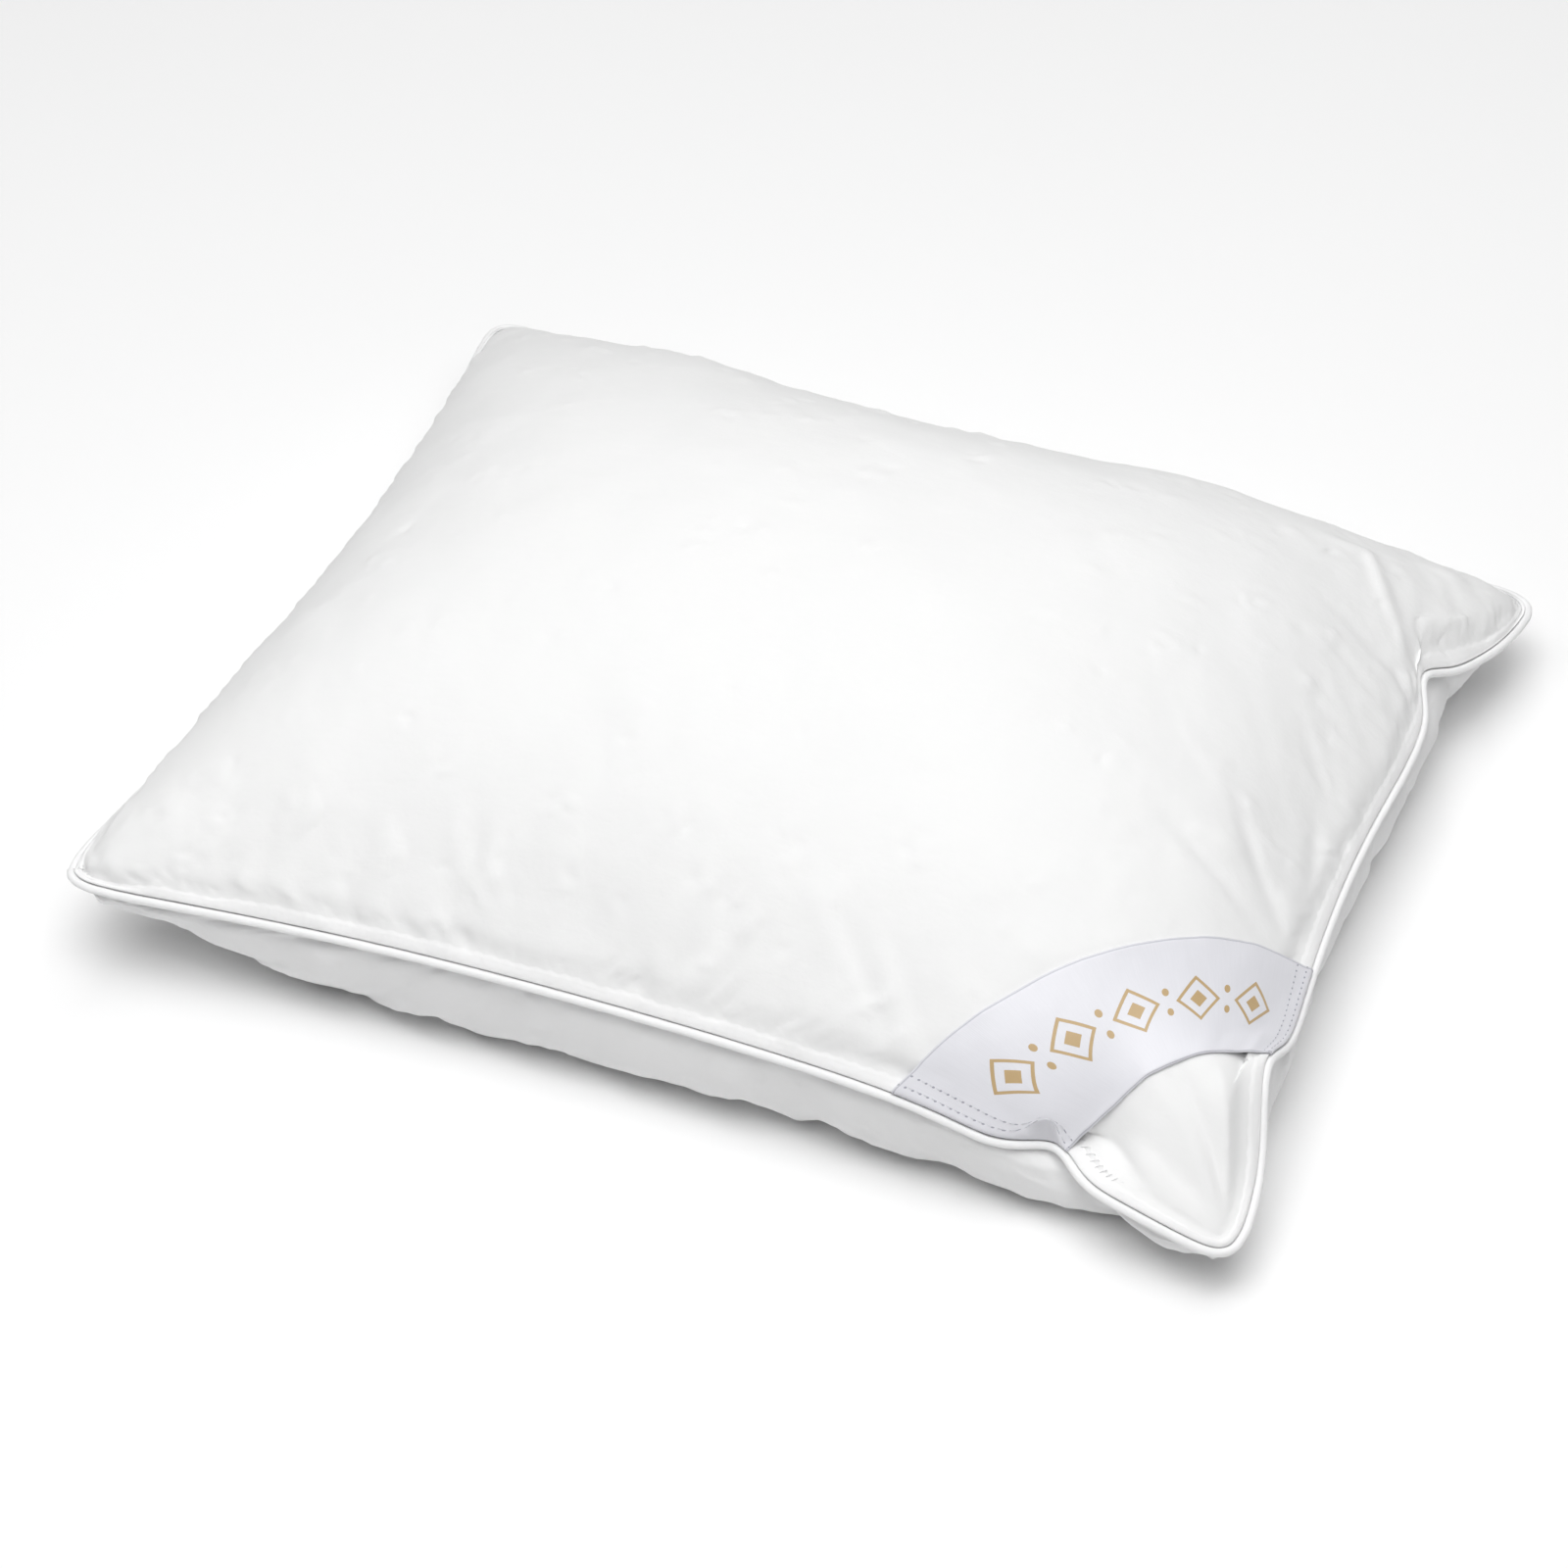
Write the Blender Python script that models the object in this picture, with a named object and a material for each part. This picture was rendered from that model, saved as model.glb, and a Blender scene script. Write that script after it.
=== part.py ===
"""A bed pillow, 60 x 50 cm flat, filled with down and lying on a flat surface.

Two cambric panels meet at a seam that runs round the pillow. The seam's edges are turned in, so that four
layers of cloth and the tails of the piping lie under the rim of the top panel. The frame has its origin under
the middle of the outline, +X along the long side, +Z up, and the label band over the front right corner.
"""

import math

import bmesh
import bpy
import numpy as np
from mathutils import Vector
from mathutils.bvhtree import BVHTree

# Outline of the seam
HALF_LENGTH = 0.290     # to the tangent of the left and right seams, before the sides pull in
HALF_WIDTH = 0.245
CORNER_RADIUS = 0.024
SEGMENTS_LONG = 24
SEGMENTS_SHORT = 20
CORNER_BLEND = 0.2      # share of a side that eases into its neighbour's height at a corner
CORNER_SMOOTHING = 3    # passes that spread the turn at each tip over its neighbouring points

# One side of the seam each, anticlockwise from above: how far its middle pulls in, and how high it lies
SIDES = {
    "front": {"pull": 0.017, "height": 0.060},
    "right": {"pull": 0.021, "height": 0.055},
    "back": {"pull": 0.050, "height": 0.076},
    "left": {"pull": 0.034, "height": 0.084},
}
# Each corner: the height of its tip, how far back the droop starts, and how softly it starts
CORNERS = {
    "front_left": {"height": 0.054, "reach": 0.160, "softness": 0.1},
    "front_right": {"height": 0.025, "reach": 0.134, "softness": 0.16},
    "back_right": {"height": 0.035, "reach": 0.144, "softness": 0.1},
    "back_left": {"height": 0.053, "reach": 0.143, "softness": 0.33},
}

# Filling: how far the panels stand above and below the seam in the middle, and how square their section is
CROWN = 0.058
CROWN_POWER = 0.66
BELLY = 0.147
BELLY_POWER = 0.50
FILL_CLEARANCE = 0.0015
FILL_SHRINK = 0.99
FILL_EDGE = 2           # cells between the filling and the edge of each panel's grid

# Cloth, thread and cord
CLOTH = 0.0004
GAP = 0.0003
THREAD_RADIUS = 0.00025
CORD_RADIUS = 0.0016
RIM_TILT = math.radians(35.0)         # how steeply the seam's turned edges rise inwards, mid-side
CORNER_TILT = math.radians(14.0)
CORNER_TRIM = 0.62                    # share of their width that the turned edges lose at a tip
ALLOWANCE = 0.0105                    # width of the turned edges
RIM = 0.0125                          # width of the flat band over them

# Section through the seam: "along" runs inwards over the turned edges from the seam line, "above" is square to it
TAIL_ABOVE = (CLOTH + GAP) / 2
TOP_ALLOWANCE_ABOVE = TAIL_ABOVE + CLOTH + GAP
CARE_TAIL_ABOVE = -TAIL_ABOVE - CLOTH - GAP
BOTTOM_ALLOWANCE_ABOVE = CARE_TAIL_ABOVE - CLOTH - GAP
FOLD_RADIUS = 0.0007
FOLD_ALONG = 0.0009
SEAM_THREAD_ALONG = 0.0020
OVERLOCK_BITE = 0.003                 # how far the overlock reaches over the raw edges
SLEEVE_RADIUS = CORD_RADIUS + GAP + CLOTH / 2
PIPING_ALONG = -SLEEVE_RADIUS - 0.0002

# Label band, a satin ribbon at 45 degrees over the front right corner
BAND_WIDTH = 0.050
BAND_MIDDLE = (0.216, -0.173)         # where its centre line passes
BAND_END_ALONG = 0.0035               # its ends stop this far inside the seam
BAND_STEPS = 16
BAND_STRIPS = 6
BAND_SAMPLES = 8                      # heights read for each step
BAND_LIFT = 0.0026
BAND_ROWS = (0.004, 0.009)            # the two rows of stitches, from each end

# Closing row, on the rim of the back side, and the care label, in the back seam, from the back right corner
CLOSING_ALONG = 0.0045
CLOSING_SPAN = (9, 15)                # the seam's points it runs between, of the back side's 24
CARE_SPAN = (17, 18)
CARE_DROP = 0.034

COLOURS = {
    "top_panel": ((0.93, 0.93, 0.92), 0.85),
    "bottom_panel": ((0.90, 0.90, 0.90), 0.85),
    "down_fill": ((0.95, 0.94, 0.90), 0.95),
    "piping_cord": ((0.90, 0.88, 0.82), 0.90),
    "piping_sleeve": ((0.94, 0.94, 0.94), 0.80),
    "seam_stitching": ((0.95, 0.95, 0.95), 0.60),
    "overlock_stitching": ((0.95, 0.95, 0.95), 0.60),
    "closing_stitching": ((0.95, 0.95, 0.95), 0.60),
    "label_strip": ((0.80, 0.80, 0.84), 0.45),
    "label_stitching": ((0.86, 0.86, 0.90), 0.60),
    "care_label": ((0.95, 0.95, 0.95), 0.50),
}


# ---------------------------------------------------------------- helpers

def clear_scene():
    for obj in list(bpy.data.objects):
        bpy.data.objects.remove(obj, do_unlink=True)


def material(name):
    colour, roughness = COLOURS[name]
    found = bpy.data.materials.get(name) or bpy.data.materials.new(name)
    found.use_nodes = True
    shader = found.node_tree.nodes["Principled BSDF"]
    shader.inputs["Base Color"].default_value = (*colour, 1.0)
    shader.inputs["Roughness"].default_value = roughness
    shader.inputs["Metallic"].default_value = 0.0
    return found


def add_object(name, points, faces, colour, thickness=None):
    """A mesh object from points and faces. With a thickness it is a sheet, thickened evenly about its middle."""
    mesh = bpy.data.meshes.new(name)
    mesh.from_pydata([tuple(p) for p in points], [], faces)
    shape = bmesh.new()
    shape.from_mesh(mesh)
    bmesh.ops.remove_doubles(shape, verts=shape.verts, dist=1e-6)
    bmesh.ops.recalc_face_normals(shape, faces=shape.faces)
    shape.to_mesh(mesh)
    shape.free()
    mesh.shade_smooth()
    obj = bpy.data.objects.new(name, mesh)
    obj.data.materials.append(material(colour))
    bpy.context.scene.collection.objects.link(obj)
    if thickness:
        solidify = obj.modifiers.new("Thickness", "SOLIDIFY")
        solidify.thickness = thickness
        solidify.offset = 0.0
        solidify.use_even_offset = True
    return obj


def smooth_step(t):
    t = np.clip(t, 0.0, 1.0)
    return t * t * (3.0 - 2.0 * t)


def bend(distance, reach, softness):
    """1 at a corner's tip, falling in a straight line to nothing at its reach, with a rounded start."""
    x = 1.0 - distance / reach
    return (x + np.sqrt(x * x + softness**2)) / (1.0 + math.sqrt(1.0 + softness**2))


def spacing(segments):
    """Places from -1 to 1 along a side, closer together near its ends."""
    even = np.linspace(-1.0, 1.0, segments + 1)
    return 0.2 * even + 0.8 * np.sin(even * math.pi / 2.0)


# ---------------------------------------------------------------- the seam line

def side_points(name, start, end, half_length, distance, turn, segments):
    """The seam along one side, as if it were the front one, then turned into place."""
    side = SIDES[name]
    place = spacing(segments)
    along = half_length * place
    inset = side["pull"] * (1.0 - place**2)
    height = np.full_like(along, side["height"])
    for corner, gone in ((start, half_length + along), (end, half_length - along)):
        tip = CORNERS[corner]
        height += (tip["height"] - side["height"]) * bend(gone, tip["reach"], tip["softness"])
    straight = half_length - CORNER_RADIUS
    angle = np.clip((np.abs(along) - straight) / CORNER_RADIUS, 0.0, 1.0) * math.pi / 4.0
    rounded = angle > 0.0
    across = np.where(rounded, distance - CORNER_RADIUS + CORNER_RADIUS * np.cos(angle), distance) - inset
    along = np.where(rounded, np.sign(along) * (straight + CORNER_RADIUS * np.sin(angle)), along)
    c, s = math.cos(turn), math.sin(turn)
    return np.stack([c * along + s * across, s * along - c * across, height], axis=1)


def seam_loop():
    """The seam's points, anticlockwise from the front left tip, with the outline's middle over the origin."""
    quarter = math.pi / 2.0
    sides = [
        side_points("front", "front_left", "front_right", HALF_LENGTH, HALF_WIDTH, 0.0, SEGMENTS_LONG),
        side_points("right", "front_right", "back_right", HALF_WIDTH, HALF_LENGTH, quarter, SEGMENTS_SHORT),
        side_points("back", "back_right", "back_left", HALF_LENGTH, HALF_WIDTH, 2 * quarter, SEGMENTS_LONG),
        side_points("left", "back_left", "front_left", HALF_WIDTH, HALF_LENGTH, 3 * quarter, SEGMENTS_SHORT),
    ]
    for i in range(4):
        here, there = sides[i], sides[(i + 1) % 4]
        meeting = (here[-1] + there[0]) / 2.0
        ease_in = smooth_step((np.linspace(0.0, 1.0, len(here)) - 1.0 + CORNER_BLEND) / CORNER_BLEND)
        ease_out = smooth_step((np.linspace(1.0, 0.0, len(there)) - 1.0 + CORNER_BLEND) / CORNER_BLEND)
        here += (meeting - here[-1]) * ease_in[:, None]
        there += (meeting - there[0]) * ease_out[:, None]
    loop = np.concatenate([side[:-1] for side in sides])
    for _ in range(CORNER_SMOOTHING):
        loop = (np.roll(loop, 1, axis=0) + 2 * loop + np.roll(loop, -1, axis=0)) / 4.0
    middle = (loop.min(axis=0) + loop.max(axis=0)) / 2.0
    return loop - np.array([middle[0], middle[1], 0.0])


class Seam:
    """The seam as one loop, with a frame at each point for the section through the layers."""

    def __init__(self):
        self.loop = seam_loop()
        tangent = np.roll(self.loop, -1, axis=0) - np.roll(self.loop, 1, axis=0)
        tangent /= np.linalg.norm(tangent, axis=1)[:, None]
        outward = np.stack([tangent[:, 1], -tangent[:, 0], np.zeros(len(tangent))], axis=1)
        outward /= np.linalg.norm(outward, axis=1)[:, None]
        upward = np.cross(outward, tangent)
        starts = np.cumsum([0, SEGMENTS_LONG, SEGMENTS_SHORT, SEGMENTS_LONG])
        near_corner = np.zeros(len(self.loop))
        for segments, start in zip((SEGMENTS_LONG, SEGMENTS_SHORT) * 2, starts):
            near_corner[start:start + segments] = np.abs(spacing(segments)[:-1]) ** 4
        tilt = (RIM_TILT + (CORNER_TILT - RIM_TILT) * near_corner)[:, None]
        self.inward = np.sin(tilt) * upward - np.cos(tilt) * outward
        self.square = np.cos(tilt) * upward + np.sin(tilt) * outward
        self.width = (1.0 - CORNER_TRIM * near_corner)[:, None]

    def ring(self, along, above):
        """The seam's loop moved to one place in the section."""
        reach = along * self.width if along > 0.0 else along
        return self.loop + reach * self.inward + above * self.square

    def rings(self, section):
        return [self.ring(along, above) for along, above in section]


def arc(centre, radius, first, last, steps):
    """Section points on an arc, with angles in degrees from the direction of "along"."""
    turns = np.radians(np.linspace(first, last, steps + 1))
    return [(centre[0] + radius * math.cos(a), centre[1] + radius * math.sin(a)) for a in turns]


# ---------------------------------------------------------------- sheets and rings

def around(ring):
    """A ring's length."""
    return np.linalg.norm(np.roll(ring, -1, axis=0) - ring, axis=1).sum()


def ring_faces(rings, closed_section=False):
    """Triangles between neighbouring rings. Each diagonal runs the same way inwards, so the layers fold alike."""
    faces = []
    count = len(rings[0])
    for r in range(len(rings) if closed_section else len(rings) - 1):
        following = (r + 1) % len(rings)
        a, b = r * count, following * count
        inwards = around(rings[following]) < around(rings[r])
        for i in range(count):
            j = (i + 1) % count
            if inwards:
                faces += [(a + i, a + j, b + j), (a + i, b + j, b + i)]
            else:
                faces += [(a + i, a + j, b + i), (a + j, b + j, b + i)]
    return faces


def split_sides(loop):
    """A loop cut at the four corners into front, right, back and left, each with both its ends."""
    ends = np.cumsum([0, SEGMENTS_LONG, SEGMENTS_SHORT, SEGMENTS_LONG, SEGMENTS_SHORT])
    closed = np.concatenate([loop, loop[:1]])
    return [closed[ends[i]:ends[i + 1] + 1] for i in range(4)]


def progress(first, second, axis):
    """How far along an axis two opposite sides have come at each of their points, from 0 to 1."""
    along = (first[:, axis] + second[:, axis]) / 2.0
    return (along - along[0]) / (along[-1] - along[0])


def coons_patch(loop):
    """The smooth surface that spans a loop, as a grid, with how far inside it each point is (0 at the loop)."""
    front, right, back, left = split_sides(loop)
    back, left = back[::-1], left[::-1]
    x, y = progress(front, back, 0), progress(left, right, 1)
    u, v = x[:, None, None], y[None, :, None]
    lengthways = (1 - v) * front[:, None] + v * back[:, None]
    crossways = (1 - u) * left[None, :] + u * right[None, :]
    corners = ((1 - u) * (1 - v) * front[0] + u * (1 - v) * front[-1]
               + (1 - u) * v * back[0] + u * v * back[-1])
    inside = np.clip(4 * x * (1 - x), 0.0, 1.0)[:, None] * np.clip(4 * y * (1 - y), 0.0, 1.0)[None, :]
    return lengthways + crossways - corners, inside


def grid_faces(rows, columns, offset=0):
    """A grid's triangles. Each cell's diagonal points at the middle, so grids inside each other fold alike."""
    faces = []
    for i in range(rows - 1):
        for j in range(columns - 1):
            a = offset + i * columns + j
            b, c, d = a + columns, a + columns + 1, a + 1
            if (2 * i < rows - 1) == (2 * j < columns - 1):
                faces += [(a, b, c), (a, c, d)]
            else:
                faces += [(a, b, d), (b, c, d)]
    return faces


def panel(name, rings, grid):
    """A panel as one sheet: the rings of its turned edge, then the grid whose edge is the last ring."""
    points = np.concatenate([*rings, grid.reshape(-1, 3)])
    faces = ring_faces(rings) + grid_faces(*grid.shape[:2], offset=len(rings) * len(rings[0]))
    return add_object(name, points, faces, name, CLOTH)


def tube_ring(name, centre, radius, sides, colour):
    """A closed round tube along the whole seam."""
    rings = SEAM.rings(arc(centre, radius, 0.0, 360.0, sides)[:-1])
    add_object(name, np.concatenate(rings), ring_faces(rings, closed_section=True), colour)


def sheet_rings(name, section, thickness):
    """A strip of cloth or thread along the whole seam, with this open section."""
    rings = SEAM.rings(section)
    add_object(name, np.concatenate(rings), ring_faces(rings), name, thickness)


def thread(name, points, colour):
    """A round thread with closed ends along a list of points."""
    curve = bpy.data.curves.new(name, "CURVE")
    curve.dimensions = "3D"
    curve.bevel_depth = THREAD_RADIUS
    curve.bevel_resolution = 0
    curve.use_fill_caps = True
    spline = curve.splines.new("POLY")
    spline.points.add(len(points) - 1)
    for point, place in zip(spline.points, points):
        point.co = (*place, 1.0)
    curve.materials.append(material(colour))
    obj = bpy.data.objects.new(name, curve)
    bpy.context.scene.collection.objects.link(obj)
    return obj


# ---------------------------------------------------------------- the pieces

def crown_grid(rim_loop):
    grid, inside = coons_patch(rim_loop)
    grid[..., 2] += CROWN * inside**CROWN_POWER
    return grid


def belly_grid(fold_loop):
    grid, inside = coons_patch(fold_loop)
    grid[..., 2] = np.maximum(grid[..., 2] - BELLY * inside**BELLY_POWER, CLOTH / 2)
    return grid


def top_panel():
    fold_above = TOP_ALLOWANCE_ABOVE + FOLD_RADIUS
    skin_above = fold_above + FOLD_RADIUS
    section = [(ALLOWANCE, TOP_ALLOWANCE_ABOVE)]
    section += arc((FOLD_ALONG, fold_above), FOLD_RADIUS, 270.0, 90.0, 4)
    section.append((RIM, skin_above))
    rings = SEAM.rings(section)
    grid = crown_grid(rings[-1])
    return panel("top_panel", rings, grid), grid, skin_above


def bottom_panel():
    fold_above = BOTTOM_ALLOWANCE_ABOVE - FOLD_RADIUS
    section = [(ALLOWANCE, BOTTOM_ALLOWANCE_ABOVE)]
    section += arc((FOLD_ALONG, fold_above), FOLD_RADIUS, 90.0, 200.0, 3)
    rings = SEAM.rings(section)
    grid = belly_grid(rings[-1])
    return panel("bottom_panel", rings, grid), grid


def down_fill(crown, belly):
    """The filling, inside both panels, clear of the turned edges."""
    inner = slice(FILL_EDGE, -FILL_EDGE)
    over = crown[inner, inner] * [FILL_SHRINK, FILL_SHRINK, 1.0] - [0.0, 0.0, FILL_CLEARANCE]
    under = belly[inner, inner] * [FILL_SHRINK, FILL_SHRINK, 1.0] + [0.0, 0.0, FILL_CLEARANCE]
    rows, columns = over.shape[:2]
    count = rows * columns
    edge = [i * columns for i in range(rows)]
    edge += [(rows - 1) * columns + j for j in range(1, columns)]
    edge += [i * columns + columns - 1 for i in range(rows - 2, -1, -1)]
    edge += list(range(columns - 2, 0, -1))
    faces = grid_faces(rows, columns) + grid_faces(rows, columns, offset=count)
    for a, b in zip(edge, edge[1:] + edge[:1]):
        faces += [(a, b, count + b), (a, count + b, count + a)]
    points = np.concatenate([over.reshape(-1, 3), under.reshape(-1, 3)])
    add_object("down_fill", points, faces, "down_fill")


def piping():
    """The cord, and the strip round it whose tails lie in the seam."""
    centre = (PIPING_ALONG, 0.0)
    tube_ring("piping_cord", centre, CORD_RADIUS, 6, "piping_cord")
    opening = math.degrees(math.asin(TAIL_ABOVE / SLEEVE_RADIUS))
    wrap = arc(centre, SLEEVE_RADIUS, -opening, opening - 360.0, 8)
    sheet_rings("piping_sleeve", [(ALLOWANCE, -TAIL_ABOVE), *wrap, (ALLOWANCE, TAIL_ABOVE)], CLOTH)


def seam_threads():
    """The lockstitch inside the fold, and the overlock that wraps the raw edges."""
    above = TOP_ALLOWANCE_ABOVE + FOLD_RADIUS
    tube_ring("seam_stitching", (SEAM_THREAD_ALONG, above), THREAD_RADIUS, 4, "seam_stitching")
    clearance = CLOTH + GAP
    high = TOP_ALLOWANCE_ABOVE + clearance
    low = BOTTOM_ALLOWANCE_ABOVE - clearance
    edge = ALLOWANCE + clearance
    back = ALLOWANCE - OVERLOCK_BITE
    sheet_rings("overlock_stitching", [(back, high), (edge, high), (edge, low), (back, low)], THREAD_RADIUS)


def closing_row(skin_above):
    """The row of stitches that shuts the filling opening, on the rim of the back side."""
    start = SEGMENTS_LONG + SEGMENTS_SHORT
    above = skin_above + CLOTH / 2 + GAP + THREAD_RADIUS
    row = SEAM.ring(CLOSING_ALONG, above)[start + CLOSING_SPAN[0]:start + CLOSING_SPAN[1] + 1]
    thread("closing_stitching", row, "closing_stitching")


def care_label():
    """A short label caught in the back seam, hanging down behind the piping."""
    start = SEGMENTS_LONG + SEGMENTS_SHORT
    span = slice(start + CARE_SPAN[0], start + CARE_SPAN[1] + 1)
    section = [(0.009, CARE_TAIL_ABOVE), (0.0004, CARE_TAIL_ABOVE), (-0.0004, -0.0018), (-0.0006, -0.0030)]
    rows = [ring[span] for ring in SEAM.rings(section)]
    rows.append(rows[-1] + CARE_DROP * np.array([0.0, 0.0, -1.0]))
    grid = np.stack(rows)
    add_object("care_label", grid.reshape(-1, 3), grid_faces(*grid.shape[:2]), "care_label", CLOTH * 0.75)


def crossings(loop, origin, direction):
    """Where a level straight line crosses a loop seen from above, as its lowest and highest distance."""
    found = []
    side = np.array([-direction[1], direction[0]])
    for a, b in zip(loop, np.roll(loop, -1, axis=0)):
        da, db = np.dot(a[:2] - origin, side), np.dot(b[:2] - origin, side)
        if (da < 0.0) != (db < 0.0):
            meeting = a[:2] + (b[:2] - a[:2]) * da / (da - db)
            found.append(float(np.dot(meeting - origin, direction)))
    return min(found), max(found)


def pulled_tight(distances, heights):
    """Heights of a ribbon drawn tight over a profile: its upper convex outline."""
    hull = []
    for x, z in zip(distances, heights):
        while len(hull) > 1:
            (x0, z0), (x1, z1) = hull[-2:]
            if (x1 - x0) * (z - z0) < (z1 - z0) * (x - x0):
                break
            hull.pop()
        hull.append((x, z))
    return np.interp(distances, *zip(*hull))


def label_band(top):
    """The ribbon, strip by strip over the top panel, and the two rows of stitches at each of its ends."""
    surface = BVHTree.FromObject(top, bpy.context.evaluated_depsgraph_get())
    direction = np.array([1.0, 1.0]) / math.sqrt(2.0)
    across = np.array([direction[1], -direction[0]])
    edge = SEAM.ring(BAND_END_ALONG, 0.0)
    columns = []
    for offset in np.linspace(-BAND_WIDTH / 2, BAND_WIDTH / 2, BAND_STRIPS + 1):
        origin = np.array(BAND_MIDDLE) + offset * across
        first, last = crossings(edge, origin, direction)
        distances = np.linspace(first, last, BAND_STEPS * BAND_SAMPLES + 1)
        plan = origin + distances[:, None] * direction
        heights = [surface.ray_cast(Vector((x, y, 1.0)), Vector((0.0, 0.0, -1.0)))[0].z for x, y in plan]
        ribbon = np.column_stack([plan, pulled_tight(distances, heights) + BAND_LIFT])
        columns.append(ribbon[::BAND_SAMPLES])
    grid = np.stack(columns, axis=1)
    add_object("label_strip", grid.reshape(-1, 3), grid_faces(*grid.shape[:2]), "label_strip", CLOTH)
    for name, ends in (("front", (0, 1)), ("side", (-1, -2))):
        rows = []
        for distance in BAND_ROWS:
            step = grid[ends[1]] - grid[ends[0]]
            share = distance / np.linalg.norm(step, axis=1)[:, None]
            rows.append(grid[ends[0]] + share * step + [0.0, 0.0, 2 * GAP + THREAD_RADIUS + CLOTH / 2])
        path = np.concatenate([rows[0][1:-1], rows[1][-2:0:-1]])
        thread(f"label_stitching_{name}", path, "label_stitching")


clear_scene()
SEAM = Seam()
top, crown, skin_above = top_panel()
_, belly = bottom_panel()
down_fill(crown, belly)
piping()
seam_threads()
closing_row(skin_above)
care_label()
label_band(top)
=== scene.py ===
"""Looks of the bed pillow: cloth, piping, stitching, label band, light and camera, around the CAD frame.

Everything is in metres in the CAD frame: +X along the long side, +Z up, the origin under the middle of the
outline, and the label band over the front right corner.
"""

import functools
import math

import bpy
import numpy as np
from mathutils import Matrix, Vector
from mathutils.bvhtree import BVHTree
from mathutils.geometry import delaunay_2d_cdt


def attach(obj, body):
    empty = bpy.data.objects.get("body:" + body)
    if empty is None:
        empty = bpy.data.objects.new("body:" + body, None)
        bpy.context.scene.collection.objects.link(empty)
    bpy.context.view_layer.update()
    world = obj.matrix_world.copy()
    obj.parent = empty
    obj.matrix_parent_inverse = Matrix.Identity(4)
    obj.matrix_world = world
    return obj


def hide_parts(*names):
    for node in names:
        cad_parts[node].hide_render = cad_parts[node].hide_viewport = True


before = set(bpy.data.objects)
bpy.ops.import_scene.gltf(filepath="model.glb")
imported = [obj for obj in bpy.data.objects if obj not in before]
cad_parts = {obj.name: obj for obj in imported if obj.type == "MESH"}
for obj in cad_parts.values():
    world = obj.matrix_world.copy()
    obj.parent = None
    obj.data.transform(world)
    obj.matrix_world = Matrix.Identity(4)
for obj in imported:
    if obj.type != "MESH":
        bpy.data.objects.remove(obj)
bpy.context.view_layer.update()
random = np.random.default_rng(7)

# ---------------------------------------------------------------- sizes that the CAD has too

HALF_LENGTH = 0.290
HALF_WIDTH = 0.245
CORNER_RADIUS = 0.024
SEGMENTS_LONG = 24
SEGMENTS_SHORT = 20
CORNER_BLEND = 0.2
CORNER_SMOOTHING = 3
SIDES = {
    "front": {"pull": 0.017, "height": 0.060},
    "right": {"pull": 0.021, "height": 0.055},
    "back": {"pull": 0.050, "height": 0.076},
    "left": {"pull": 0.034, "height": 0.084},
}
CORNERS = {
    "front_left": {"height": 0.054, "reach": 0.160, "softness": 0.1},
    "front_right": {"height": 0.025, "reach": 0.134, "softness": 0.16},
    "back_right": {"height": 0.035, "reach": 0.144, "softness": 0.1},
    "back_left": {"height": 0.053, "reach": 0.143, "softness": 0.33},
}
BELLY = 0.147
BELLY_POWER = 0.50
CLOTH = 0.0004
GAP = 0.0003
CORNER_TILT = math.radians(14.0)
CORNER_TRIM = 0.62
ALLOWANCE = 0.0105
RIM = 0.0125
TAIL_ABOVE = (CLOTH + GAP) / 2
TOP_ALLOWANCE_ABOVE = TAIL_ABOVE + CLOTH + GAP
BOTTOM_ALLOWANCE_ABOVE = -TAIL_ABOVE - 2 * (CLOTH + GAP)
FOLD_RADIUS = 0.0007
FOLD_ALONG = 0.0009
SKIN_ABOVE = TOP_ALLOWANCE_ABOVE + 2 * FOLD_RADIUS

# ---------------------------------------------------------------- sizes of the looks alone

# Flat cut of a panel, from seam to seam, and how much slack each panel has along and across
CUT_HALF = (0.300, 0.250)
TOP_EASE = (1.055, 1.06)
BOTTOM_EASE = (1.06, 1.07)
# Points of the seam: 4 sides, each tip on a point
COUNTS = (162, 134, 162, 134)
BAND_OFFSETS = (0.0, 0.0042, 0.0084, RIM)
TICKS = 4  # fine points of the band for each point of the seam
LATTICE = 0.005

# How steeply the layers leave the seam: front, right, back, left
TILTS = (35.0, 38.0, 52.0, 68.0)
# Places where the seam is pinched: side, distance from the side's first corner, spread, inwards, up
PINCHES = (
    ("front", 0.464, 0.025, 0.003, -0.006),
    ("front", 0.479, 0.012, 0.014, 0.000),
    ("right", 0.077, 0.018, 0.006, 0.022),
    ("right", 0.225, 0.095, 0.0040, 0.004),
    ("back", 0.290, 0.160, 0.003, -0.011),
    ("left", 0.245, 0.130, 0.005, -0.005),
    ("right", 0.372, 0.030, 0.008, 0.007),
    ("right", 0.366, 0.012, 0.008, 0.006),
)
# How far each panel bulges past the seam: front, right, back, left, and how deep inside it bulges most
TOP_BULGE, TOP_BULGE_DEPTH = (0.001, 0.000, 0.002, 0.004), 0.020
BOTTOM_BULGE, BOTTOM_BULGE_DEPTH = (0.004, 0.004, 0.006, 0.005), 0.024
# How high the filling stands inside each corner: front left, front right, back right, back left
CORNER_PUFF = (0.005, 0.000, 0.005, 0.003)
CORNER_PUFF_INSIDE, CORNER_PUFF_SPREAD = 0.042, 0.020
# How high the crown rises over the seam, how early it does so, and how square it is seen from above
CROWN, CROWN_POWER, PLUMP = 0.053, 0.62, 2.5
# How far in from the band the pinches die away
TOP_PINCH_REACH, BOTTOM_PINCH_REACH = 0.045, 0.030
CURVE_POINTS = 801  # points of the curves that a patch is spaced by


# ---------------------------------------------------------------- the seam

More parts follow.
